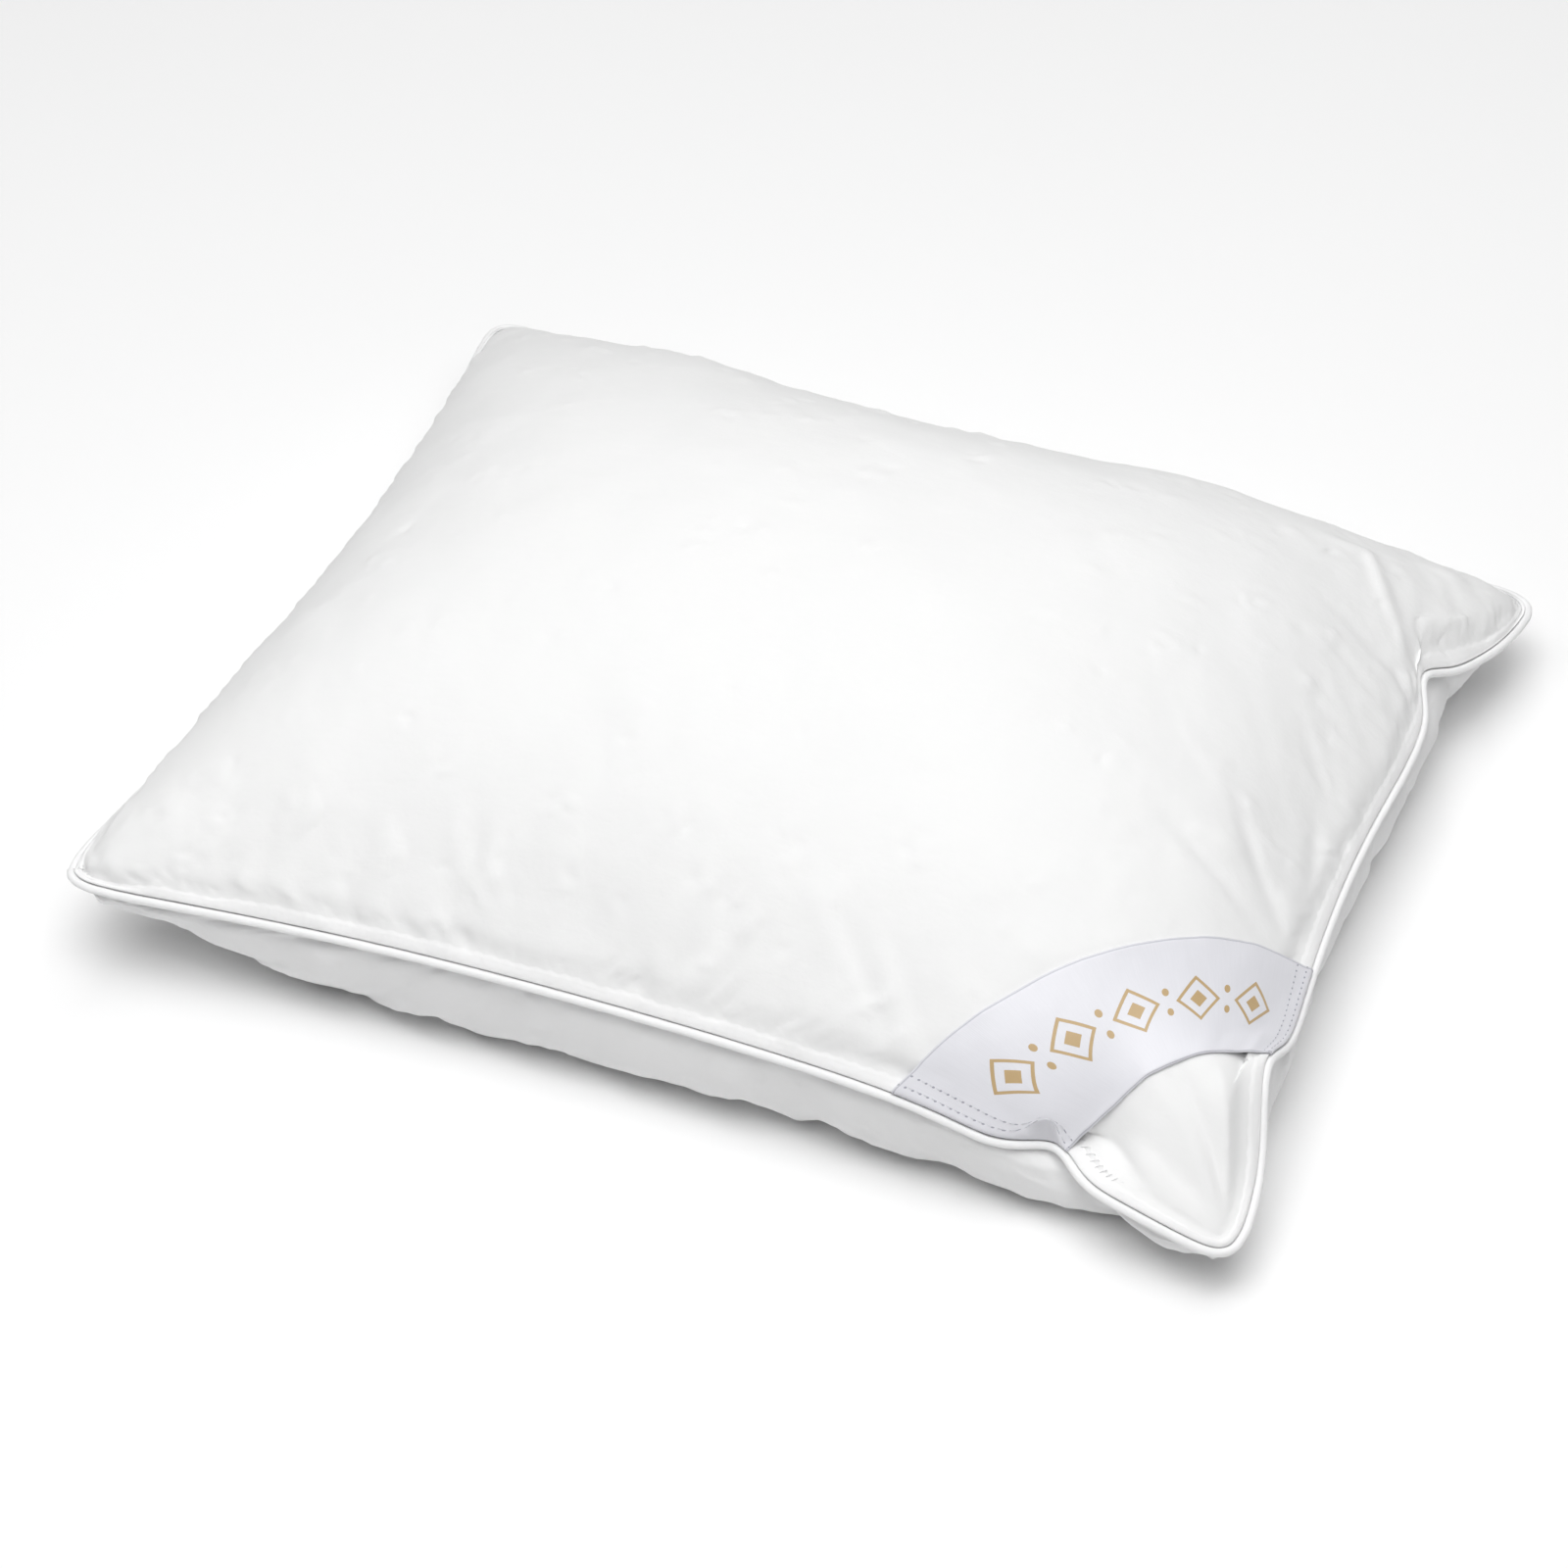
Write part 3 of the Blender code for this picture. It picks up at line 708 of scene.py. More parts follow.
def flat_grid(along, across):
    """The flat coordinates of an open grid, row by row."""
    return np.stack(np.meshgrid(along, across, indexing="ij"), axis=2).reshape(-1, 2)


def open_quads(rows, columns, offset=0):
    """Quads of an open grid of points."""
    index = offset + np.arange(rows * columns).reshape(rows, columns)
    corners = (index[:-1, :-1], index[1:, :-1], index[1:, 1:], index[:-1, 1:])
    return np.stack(corners, axis=2).reshape(-1, 4).tolist()


def piece(name, points, faces, surface, uv=None, marks=None, thickness=None):
    """A mesh object, with its flat coordinates in metres as UVs and named numbers at its points."""
    mesh = bpy.data.meshes.new(name)
    mesh.from_pydata(np.asarray(points, float).tolist(), [], [tuple(map(int, f)) for f in faces])
    if uv is not None:
        layer = mesh.uv_layers.new(name="cut")
        corners = np.empty(len(mesh.loops), np.int32)
        mesh.loops.foreach_get("vertex_index", corners)
        layer.data.foreach_set("uv", np.asarray(uv, np.float32)[corners].ravel())
    for title, values in (marks or {}).items():
        attribute = mesh.attributes.new(title, "FLOAT", "POINT")
        attribute.data.foreach_set("value", np.asarray(values, np.float32))
    mesh.shade_smooth()
    obj = bpy.data.objects.new(name, mesh)
    obj.data.materials.append(surface)
    bpy.context.scene.collection.objects.link(obj)
    if thickness:
        solidify = obj.modifiers.new("Thickness", "SOLIDIFY")
        solidify.thickness = thickness
        solidify.offset = 0.0
    return obj


# ---------------------------------------------------------------- the panels

TICK_HEIGHT = 0.00016
PUCKER_HEIGHT = 0.00022
FOLD_TURNS = (130.0, 180.0, 230.0, 270.0)  # round the turned edge, in degrees
TICK_FROM, TICK_TO = 0.0016, 0.0058
BAND_STEP = 0.0005  # how far the layers inside hold the band up
BAND_SHOWS = 0.0064  # how wide the band looks, from the seam


def normals_of(grid):
    """Unit normals of a grid of closed rings, pointing up."""
    along = np.roll(grid, -1, axis=1) - np.roll(grid, 1, axis=1)
    inwards = np.gradient(grid, axis=0)
    normal = np.cross(along, inwards)
    return normal / np.linalg.norm(normal, axis=2)[..., None]


def wave(place, length, seed):
    """A smooth wandering line between -1 and 1, with bends about this far apart, closed on itself."""
    source = np.random.default_rng(seed)
    total = place[-1] + (place[1] - place[0])
    count = max(4, int(total / length))
    knots = source.uniform(-1.0, 1.0, count)
    at = place / total * count
    k = np.floor(at).astype(int) % count
    t = smooth_step(at - np.floor(at))
    return knots[k] * (1.0 - t) + knots[(k + 1) % count] * t


# Single creases of the upper panel, seen from above: its line, its height, and its width
CREASES = (
    (((0.195, 0.156), (0.216, 0.167), (0.237, 0.137), (0.250, 0.120)), 0.0034, 0.0045),
    (((0.205, 0.110), (0.237, 0.105), (0.256, 0.117)), -0.0013, 0.005),
    (((0.246, 0.126), (0.262, 0.133)), -0.0045, 0.008),
    (((-0.003, -0.077), (0.015, -0.078), (0.018, -0.099), (0.012, -0.121)), -0.0009, 0.006),
    (((-0.105, -0.173), (-0.090, -0.202)), -0.0010, 0.006),
    (((-0.054, -0.113), (-0.029, -0.154)), 0.0009, 0.009),
    (((0.190, -0.080), (0.250, -0.097)), -0.0021, 0.005),
    (((0.215, -0.045), (0.237, -0.070), (0.256, -0.084)), -0.0025, 0.0045),
    (((0.247, -0.010), (0.260, -0.063)), -0.0022, 0.004),
    (((0.198, -0.033), (0.226, -0.058)), 0.0014, 0.006),
    (((0.225, 0.028), (0.257, -0.010)), -0.0012, 0.0045),
    (((0.225, 0.070), (0.258, 0.030)), 0.0012, 0.005),
    (((0.215, 0.085), (0.258, 0.075)), -0.0010, 0.004),
    (((0.075, -0.180), (0.120, -0.221)), -0.0017, 0.005),
    (((0.100, -0.182), (0.140, -0.222)), -0.0013, 0.005),
    (((0.060, -0.172), (0.082, -0.203)), 0.0010, 0.006),
    (((0.020, -0.178), (0.042, -0.213)), -0.0009, 0.006),
    (((0.207, -0.205), (0.240, -0.216), (0.276, -0.229)), -0.0020, 0.0045),
    (((0.223, -0.192), (0.250, -0.206), (0.277, -0.227)), 0.0020, 0.0045),
    (((0.240, -0.186), (0.262, -0.205), (0.278, -0.226)), -0.0022, 0.0035),
    (((0.256, -0.178), (0.268, -0.200), (0.279, -0.224)), 0.0014, 0.0030),
)


def creased(points, flat):
    """The fine upper panel with its single creases, which stop short of the band at the seam."""
    height = np.zeros(len(points))
    for line, tall, wide in CREASES:
        line = np.array(line)
        reach = gone_along(line)
        nearest, gone = np.full(len(points), 1.0), np.zeros(len(points))
        for a, b, begun in zip(line, line[1:], reach):
            span = np.linalg.norm(b - a)
            share = np.clip((points[:, :2] - a) @ (b - a) / span**2, 0.0, 1.0)
            away = np.linalg.norm(points[:, :2] - a - share[:, None] * (b - a), axis=1)
            closer = away < nearest
            nearest = np.where(closer, away, nearest)
            gone = np.where(closer, begun + share * span, gone)
        taper = np.sin(math.pi * np.clip(gone / reach[-1], 0.02, 0.98)) ** 0.6
        height += tall * taper * np.exp(-((nearest / wide) ** 2))
    inside = np.minimum(CUT_HALF[0] - np.abs(flat[:, 0]), CUT_HALF[1] - np.abs(flat[:, 1]))
    moved = points.copy()
    moved[:, 2] += height * smooth_step((inside - RIM) / 0.008)
    return moved


def band_relief(place, offset):
    """How far the band stands up at these places and distances from the seam: its step, ticks and puckers."""
    tick = np.tile((1.0, 0.1, -0.35, 0.1), len(place) // TICKS)
    strength = 0.55 + 0.45 * wave(place, 0.060, 3)
    front_share = np.where(SEAM_FINE.side == 0, SEAM_FINE.share, 1.0)
    strength *= 1.0 - 0.75 * smooth_step((front_share - 0.55) / 0.15)
    shown = smooth_step((offset - TICK_FROM) / 0.001) * smooth_step((TICK_TO - offset) / 0.001)
    relief = TICK_HEIGHT * tick * strength * shown
    relief += BAND_STEP * smooth_step((BAND_SHOWS - offset) / 0.0012) * smooth_step(offset / 0.0015)
    relief += PUCKER_HEIGHT * wave(place, 0.009, 4) * smooth_step(offset / 0.004) * shown
    relief[-1] = 0.0
    return relief


def top_panel(points, surface):
    """The upper panel: the fine band over the turned edges, its fold, and the crown."""
    fine, flat, faces, middles = subdivided(points, FLAT, FACES)
    fine = creased(fine, flat)
    index = band_grid(middles)
    grid = doubled(doubled(fine[index], 1, True), 0, False)
    cut = np.concatenate([flat[index], np.zeros((*index.shape, 1))], axis=2)
    cut = doubled(doubled(cut, 1, True), 0, False)[..., :2]
    grid[-1, ::2] = fine[index[-1]]
    place = SEAM_FINE.places()
    offset = np.linspace(0.0, RIM, len(grid))[:, None]
    grid += band_relief(place, offset)[..., None] * normals_of(grid)
    rows, columns = grid.shape[:2]
    above = TOP_ALLOWANCE_ABOVE + FOLD_RADIUS
    turned = []
    for degrees in FOLD_TURNS:
        out, up = (FOLD_RADIUS * part(math.radians(degrees)) for part in (math.cos, math.sin))
        turned.append(SEAM_FINE.ring(FOLD_ALONG + out, above + up))
    turned.append(SEAM_FINE.ring(ALLOWANCE, TOP_ALLOWANCE_ABOVE))
    strip = np.concatenate([*turned[::-1], *grid])
    strip_cut = np.concatenate([*(cut[0] * (1.0 + 0.002 * k) for k in (14, 3, 2, 1, 0)), *cut])
    all_rows = rows + len(turned)
    last = (all_rows - 1) * columns
    used, renamed = np.unique(faces[4 * BAND_FACES:], return_inverse=True)
    renamed = renamed.reshape(-1, 3) + last
    place_of = np.zeros(len(fine), int)
    place_of[used] = last + np.arange(len(used))
    ring = place_of[index[-1]]
    zipped = []
    for j in range(len(ring)):
        k = (j + 1) % len(ring)
        a, b, c = (last - columns + (2 * j + step) % columns for step in range(3))
        zipped += [(a, b, ring[j]), (b, ring[k], ring[j]), (b, c, ring[k])]
    quads = ring_quads(all_rows - 1, columns)
    everything = np.concatenate([strip[:last], fine[used]])
    cuts = np.concatenate([strip_cut[:last], flat[used]])
    band = np.zeros(len(everything))
    turned_in = len(turned) * columns
    band[turned_in:last] = np.repeat(offset[:-1, 0] < BAND_SHOWS, columns)
    faces = [*quads, *zipped, *renamed.tolist()]
    return piece("top_panel_cloth", everything, faces, surface, cuts, {"rim": band})


def bottom_panel(points, surface):
    """The lower panel, from its turned edge to where it lies on the floor."""
    fine, flat, faces, middles = subdivided(points, FLAT, FACES)
    ring = band_grid(middles)[0]
    rows = [
        SEAM_TWICE.ring(FOLD_ALONG, BOTTOM_ALLOWANCE_ABOVE),
        SEAM_TWICE.ring(ALLOWANCE, BOTTOM_ALLOWANCE_ABOVE),
    ]
    count = len(fine)
    faces = [tuple(f[::-1]) for f in faces.tolist()]
    for r in range(2):
        for i in range(len(ring)):
            j = (i + 1) % len(ring)
            here = ring if r == 0 else count + np.arange(len(ring))
            there = count + r * len(ring)
            faces.append((here[i], here[j], there + j, there + i))
    fine[:, 2] = np.maximum(fine[:, 2], CLOTH / 2)
    cut = np.concatenate([flat, flat[ring] * 1.003, flat[ring] * 1.03])
    return piece("bottom_panel_cloth", np.concatenate([fine, *rows]), faces, surface, cut)


# ---------------------------------------------------------------- materials

class Number:
    """What comes out of a material's node, with ordinary arithmetic on it."""

    def __init__(self, tree, socket):
        self.tree, self.socket = tree, socket

    def math(self, operation, *values):
        """This number put through a math node, with these others."""
        node = self.tree.nodes.new("ShaderNodeMath")
        node.operation = operation
        for socket, value in zip(node.inputs, (self, *values)):
            put(socket, value)
        return Number(self.tree, node.outputs[0])


ARITHMETIC = (
    ("add", "ADD"), ("sub", "SUBTRACT"), ("mul", "MULTIPLY"), ("truediv", "DIVIDE"),
    ("pow", "POWER"), ("lt", "LESS_THAN"), ("abs", "ABSOLUTE"),
)
for symbol, operation in ARITHMETIC:
    setattr(Number, f"__{symbol}__", functools.partialmethod(Number.math, operation))


def put(socket, value):
    """A node's input linked to what works it out, or set to a number or a colour."""
    if isinstance(value, Number):
        value.tree.links.new(value.socket, socket)
    else:
        socket.default_value = (*value, 1.0) if isinstance(value, tuple) else value


class Surface:
    """A material in the making, with short ways to add the nodes that are used here."""

    def __init__(self, name):
        self.made = bpy.data.materials.new(name)
        self.made.use_nodes = True
        self.tree = self.made.node_tree
        self.tree.nodes.clear()
        out = self.tree.nodes.new("ShaderNodeOutputMaterial")
        self.shader = self.tree.nodes.new("ShaderNodeBsdfPrincipled")
        self.tree.links.new(self.shader.outputs["BSDF"], out.inputs["Surface"])

    def node(self, kind, inputs, output=0, **settings):
        """A node with these inputs and settings, as what comes out of it."""
        made = self.tree.nodes.new("ShaderNode" + kind)
        for title, value in settings.items():
            setattr(made, title, value)
        for title, value in inputs.items():
            put(made.inputs[title], value)
        return Number(self.tree, made.outputs[output])

    def flat(self):
        """Where a point is in the flat cut, along and across it."""
        cut = self.node("UVMap", {}, uv_map="cut")
        u = self.node("SeparateXYZ", {0: cut})
        return u, Number(self.tree, u.socket.node.outputs[1])

    def place(self):
        return self.node("TexCoord", {}, "Object")

    def noise(self, place, scale=1.0, detail=2.0):
        return self.node("TexNoise", {"Scale": scale, "Detail": detail, "Vector": place}, "Fac")

    def streaks(self, u, v, along, across):
        """Noise over the flat cut, finer one way than the other."""
        return self.noise(self.node("CombineXYZ", {0: u * along, 1: v * across}))

    def colour(self, share, first, second):
        return self.node("Mix", {0: share, 6: first, 7: second}, 2, data_type="RGBA")

    def bump(self, height, distance, strength=1.0):
        return self.node("Bump", {"Distance": distance, "Strength": strength, "Height": height}, "Normal")

    def finished(self, inputs):
        """The material, with these inputs on its shader."""
        for title, value in inputs.items():
            put(self.shader.inputs[title], value)
        return self.made


WEAVE = 0.00032  # one thread of the weave, over or under
WEAVE_DEPTH = 0.00004
CRUMPLE = 0.0009  # height of the cloth's fine crumples


def weave(cloth, u, v):
    """Plain weave: threads that pass over and under each other, of slightly uneven thickness."""
    turn = math.pi / WEAVE
    over = (u * turn).math("SINE") * (v * turn).math("SINE")
    return over * 0.25 + (cloth.streaks(u, v, 40.0, 900.0) + cloth.streaks(u, v, 900.0, 40.0))


def cambric(name, light, dark, rim_light=None, bias=False):
    """Down-proof cotton: plain weave, faint streaks and clouds of tone, and fine crumples."""
    cloth = Surface(name)
    u, v = cloth.flat()
    if bias:
        u, v = u + v, u - v
    place = cloth.place()
    streaks = cloth.streaks(u, v, 60.0, 700.0)
    colour = cloth.colour(streaks * 0.35 + cloth.noise(place, 14.0, 3.0) * 0.65, dark, light)
    if rim_light is not None:
        rim = cloth.node("Attribute", {}, "Fac", attribute_name="rim")
        colour = cloth.colour(rim * 0.8, colour, rim_light)
    height = cloth.noise(place, 70.0, 4.0) * (CRUMPLE / WEAVE_DEPTH) + weave(cloth, u, v)
    return cloth.finished({
        "Base Color": colour,
        "Roughness": streaks * 0.12 + 0.74,
        "Sheen Weight": 0.12,
        "Sheen Roughness": 0.5,
        "Specular IOR Level": 0.25,
        "Normal": cloth.bump(height, WEAVE_DEPTH, 0.6),
    })


def yarn(name, light, dark, twist, roughness=0.55):
    """Twisted thread or cord: slanting plies, by the UVs along and round it."""
    thread = Surface(name)
    u, v = thread.flat()
    ply = (u * (2 * math.pi / twist) + v * (4 * math.pi)).math("SINE")
    fuzz = thread.noise(thread.place(), 900.0)
    return thread.finished({
        "Base Color": thread.colour(ply * 0.3 + fuzz, dark, light),
        "Roughness": fuzz * 0.2 + (roughness - 0.1),
        "Normal": thread.bump(ply, 0.00006),
    })


def down_surface():
    """Loose tufts of down with fine barbs."""
    down = Surface("down_tufts")
    place = down.place()
    tufts, barbs = down.noise(place, 55.0, 6.0), down.noise(place, 420.0, 4.0)
    return down.finished({
        "Base Color": down.colour(tufts, (0.78, 0.76, 0.70), (0.93, 0.92, 0.88)),
        "Roughness": barbs * 0.2 + 0.8,
        "Normal": down.bump(barbs * 0.3 + tufts, 0.003),
    })


RIBBON_WIDTH = 0.050
RIB = 0.0007  # one rib of the ribbon
WOVEN_EDGE, WOVEN_EDGE_HALF = 0.0007, 0.00025
MOTIF_PITCH = 0.031
MOTIF_HALF = (0.0105, 0.0085)
MOTIF_REACH = 0.0735  # the row of diamonds stops this far from the ribbon's middle
DOT_ACROSS, DOT_RADIUS = 0.0042, 0.0016
HOLE_PITCH, HOLE_RADIUS = 0.0026, 0.00045
ROWS_FROM_END = (0.004, 0.009)
LABEL_WHITE = (0.83, 0.83, 0.875)
GOLD = (0.56, 0.40, 0.21)


def satin(name, ground, length=None):
    """Satin ribbon: fine ribs across it, and on the band, which has a length, diamonds in gold thread."""
    ribbon = Surface(name)
    u, v = ribbon.flat()
    floats = ribbon.streaks(u, v, 1400.0, 90.0)
    height = (u * (2.0 * math.pi / RIB)).math("SINE") * 0.4 + floats
    colour = ribbon.colour(floats, tuple(0.94 * c for c in ground), ground)
    if length:
        across = abs(v)
        edge = (across * -1.0 + RIBBON_WIDTH / 2).math("COMPARE", WOVEN_EDGE, WOVEN_EDGE_HALF)
        colour = ribbon.colour(edge * 0.55, colour, (0.42, 0.42, 0.48))
        near = (u + MOTIF_PITCH * 8).math("PINGPONG", MOTIF_PITCH / 2)
        diamond = near / MOTIF_HALF[0] + across / MOTIF_HALF[1]
        ring, heart = diamond.math("COMPARE", 1.0, 0.10), diamond < 0.42
        far = near * -1.0 + MOTIF_PITCH / 2
        dots = (far / DOT_RADIUS) ** 2.0 + ((across - DOT_ACROSS) / DOT_RADIUS) ** 2.0 < 1.0
        drawn = ring.math("MAXIMUM", heart).math("MAXIMUM", dots) * (abs(u) < MOTIF_REACH)
        colour = ribbon.colour(drawn, colour, GOLD)
        height = drawn * 2.0 + height
        from_end = abs(u) * -1.0 + length / 2
        # Two rows of needle holes near each end, painted dark grey: painted shade inside the holes.
        for k, row in enumerate(ROWS_FROM_END):
            along = (v + (1.0 + k * HOLE_PITCH / 2)).math("PINGPONG", HOLE_PITCH / 2)
            needle_hole_shade = (along / HOLE_RADIUS) ** 2.0 + ((from_end - row) / HOLE_RADIUS) ** 2.0 < 1.0
            colour = ribbon.colour(needle_hole_shade, colour, (0.40, 0.40, 0.46))
    return ribbon.finished({
        "Base Color": colour,
        "Roughness": floats * 0.16 + 0.34,
        "Sheen Weight": 0.1,
        "Anisotropic": 0.4,
        "Normal": ribbon.bump(height, 0.00003, 0.6),
    })


# ---------------------------------------------------------------- piping, threads and filling

CORD_RADIUS = 0.0016
SLEEVE_RADIUS = CORD_RADIUS + GAP + CLOTH / 2
PIPING_ALONG = -SLEEVE_RADIUS + 0.0001
PIPING_ABOVE = 0.0007  # how far the piping's outer side rides up
THREAD_RADIUS = 0.00025
OVERLOCK_RADIUS = 0.00015
TAIL_WIDTH = 0.012
SLEEVE_SIDES = 12
JOIN_AT = 0.62  # where the piping strip's ends meet, as a share of the seam
FILL_FROM_SEAM = 0.022  # how far inside the seam the filling starts
FILL_INSIDE = 0.004  # and how far inside the cloth it is
FILL_LEAST = 0.0005  # half its least thickness
FILL_GRID = (45, 37)


def piping_sleeve(surface):
    """The bias strip round the cord, lightly puckered, with its tails in the seam and its ends lapped."""
    seam = SEAM_FINE
    place = seam.places()
    opening = math.degrees(math.asin(TAIL_ABOVE / SLEEVE_RADIUS))
    rows = [seam.ring(ALLOWANCE, -TAIL_ABOVE)]
    around = [-TAIL_WIDTH]
    lap = smooth_step(1.0 - np.abs(place - JOIN_AT * place[-1]) / 0.004)
    for k in range(SLEEVE_SIDES + 1):
        angle = math.radians(-opening + (2.0 * opening - 360.0) * k / SLEEVE_SIDES)
        fine = 0.00009 * wave(place + 0.4 * k * SLEEVE_RADIUS, 0.0035, 11)
        coarse = 0.00007 * wave(place, 0.018, 12 + k)
        radius = SLEEVE_RADIUS + (fine + coarse + 0.0003 * lap) * (0 < k < SLEEVE_SIDES)
        along = PIPING_ALONG + radius * math.cos(angle)
        above = radius * math.sin(angle) + PIPING_ABOVE * (1.0 - math.cos(angle)) / 2.0
        rows.append(seam.loop + along[:, None] * seam.inward + above[:, None] * seam.square)
        around.append(-SLEEVE_RADIUS * angle)
    rows.append(seam.ring(ALLOWANCE, TAIL_ABOVE))
    around.append(around[-1] + TAIL_WIDTH)
    points = np.concatenate(rows)
    cut = np.concatenate([np.stack([place, np.full_like(place, a)], axis=1) for a in around])
    return piece("piping_strip", points, ring_quads(len(rows), len(place), flip=True), surface, cut)


def tube_ring(name, centre, radius, sides, surface):
    """A closed round tube along the whole seam."""
    place = SEAM.places()
    rows, cut = [], []
    for k in range(sides):
        angle = 2.0 * math.pi * k / sides
        along, above = centre[0] + radius * math.cos(angle), centre[1] + radius * math.sin(angle)
        rows.append(SEAM.loop + along * SEAM.inward + above * SEAM.square)
        cut.append(np.stack([place, np.full_like(place, k / sides)], axis=1))
    faces = ring_quads(sides, len(place), closed=True)
    return piece(name, np.concatenate(rows), faces, surface, np.concatenate(cut))


def tubes(name, lines, radius, sides, surface):
    """Round threads with closed ends along several lines, as one piece."""
    points, faces, cut = [], [], []
    for line in lines:
        tangent = np.gradient(line, axis=0)
        tangent /= np.linalg.norm(tangent, axis=1)[:, None]
        spare = np.array([0.0, 0.0, 1.0]) if abs(tangent[0, 2]) < 0.8 else np.array([1.0, 0.0, 0.0])
        side = np.cross(tangent, spare)
        side /= np.maximum(np.linalg.norm(side, axis=1), 1e-9)[:, None]
        up = np.cross(side, tangent)
        gone = gone_along(line)
        start = len(points)
        for i in range(len(line)):
            for k in range(sides):
                a = 2.0 * math.pi * k / sides
                points.append(line[i] + radius * (math.cos(a) * side[i] + math.sin(a) * up[i]))
                cut.append((gone[i], k / sides))
        for i in range(len(line) - 1):
            a = start + i * sides
            for k in range(sides):
                j = (k + 1) % sides
                faces.append((a + k, a + j, a + sides + j, a + sides + k))
        faces.append(tuple(start + k for k in reversed(range(sides))))
        faces.append(tuple(start + (len(line) - 1) * sides + k for k in range(sides)))
    return piece(name, points, faces, surface, cut)


def overlock(surface):
    """The thread over the raw edges inside, a stitch for each tick that shows on the band."""
    clearance = CLOTH + GAP
    high, low = TOP_ALLOWANCE_ABOVE + clearance, BOTTOM_ALLOWANCE_ABOVE - clearance
    edge, back = ALLOWANCE + clearance, ALLOWANCE - 0.003
    corners = [SEAM.ring(a, h) for a, h in ((back, high), (edge, high), (edge, low), (back, low))]
    line = np.stack(corners, axis=1)
    line[:, 1:3] += 0.5 * (np.roll(line[:, 1:3], -1, axis=0) - line[:, 1:3])
    return tubes("overlock_thread", [line.reshape(-1, 3)], OVERLOCK_RADIUS, 4, surface)


def height_at(surface, x, y, otherwise, side=1.0):
    """How high a surface is at a place, seen from above or from below, or another number off it."""
    hit = surface.ray_cast(Vector((x, y, side)), Vector((0.0, 0.0, -side)))[0]
    return hit.z if hit else otherwise


def filling(top, bottom, surface):
    """The down, as one soft body a little inside both panels."""
    graph = bpy.context.evaluated_depsgraph_get()
    over, under = BVHTree.FromObject(top, graph), BVHTree.FromObject(bottom, graph)
    patch = Patch(SEAM.ring(FILL_FROM_SEAM, 0.0), 0.0, 1.0)
    columns, rows = FILL_GRID
    x, y = np.meshgrid(np.linspace(0.0, 1.0, columns), np.linspace(0.0, 1.0, rows))
    plan = patch.at(x.ravel(), y.ravel(), True)
    high, low = [], []
    for px, py, pz in plan:
        roof = height_at(over, px, py, pz)
        base = height_at(under, px, py, pz, -1.0)
        middle = (roof + base) / 2.0
        high.append((px, py, max(roof - FILL_INSIDE, middle + FILL_LEAST)))
        low.append((px, py, min(base + FILL_INSIDE, middle - FILL_LEAST)))
    count = len(plan)
    index = np.arange(count).reshape(rows, columns)
    edge = [*index[0], *index[1:, -1], *index[-1, -2::-1], *index[-2:0:-1, 0]]
    faces = [f[::-1] for f in open_quads(rows, columns)] + open_quads(rows, columns, count)
    for a, b in zip(edge, edge[1:] + edge[:1]):
        faces.append((a, count + a, count + b, b))
    return piece("down_body", high + low, faces, surface)


# ---------------------------------------------------------------- the label band

BAND_MIDDLE = (0.216, -0.173)
BAND_END_ALONG = -0.0004
BAND_STEPS = 120
BAND_STRIPS = 28
BAND_SAMPLES = 3
BAND_LIFT = 0.0012  # how far over the cloth the ribbon is drawn
BAND_CLEAR = 0.0009  # and how near it may come
HEM_ROWS, HEM_BELOW = 3, 0.0008
STITCH_LIFT = 0.00016  # how far a label stitch stands up, and its radius
BAND_AROUND = ((0.0, 0.0), (0.0008, 0.0), (-0.0008, 0.0), (0.0, 0.0008), (0.0, -0.0008))


def crossings(loop, origin, direction):
    """Where a straight line crosses a loop seen from above: the two distances, and the loop's two heights."""
    side = np.array([-direction[1], direction[0]])
    after = np.roll(loop, -1, axis=0)
    da, db = (loop[:, :2] - origin) @ side, (after[:, :2] - origin) @ side
    hit = (da < 0.0) != (db < 0.0)
    share = da[hit] / (da[hit] - db[hit])
    meeting = loop[hit] + (after[hit] - loop[hit]) * share[:, None]
    found = (meeting[:, :2] - origin) @ direction
    low, high = found.argmin(), found.argmax()
    return found[low], found[high], meeting[low, 2], meeting[high, 2]


def pulled_tight(distances, heights):
    """Heights of a ribbon drawn tight over a profile: its upper convex outline."""
    hull = []
    for x, z in zip(distances, heights):
        while len(hull) > 1:
            (x0, z0), (x1, z1) = hull[-2:]
            if (x1 - x0) * (z - z0) < (z1 - z0) * (x - x0):
                break
            hull.pop()
        hull.append((x, z))
    return np.interp(distances, *zip(*hull))


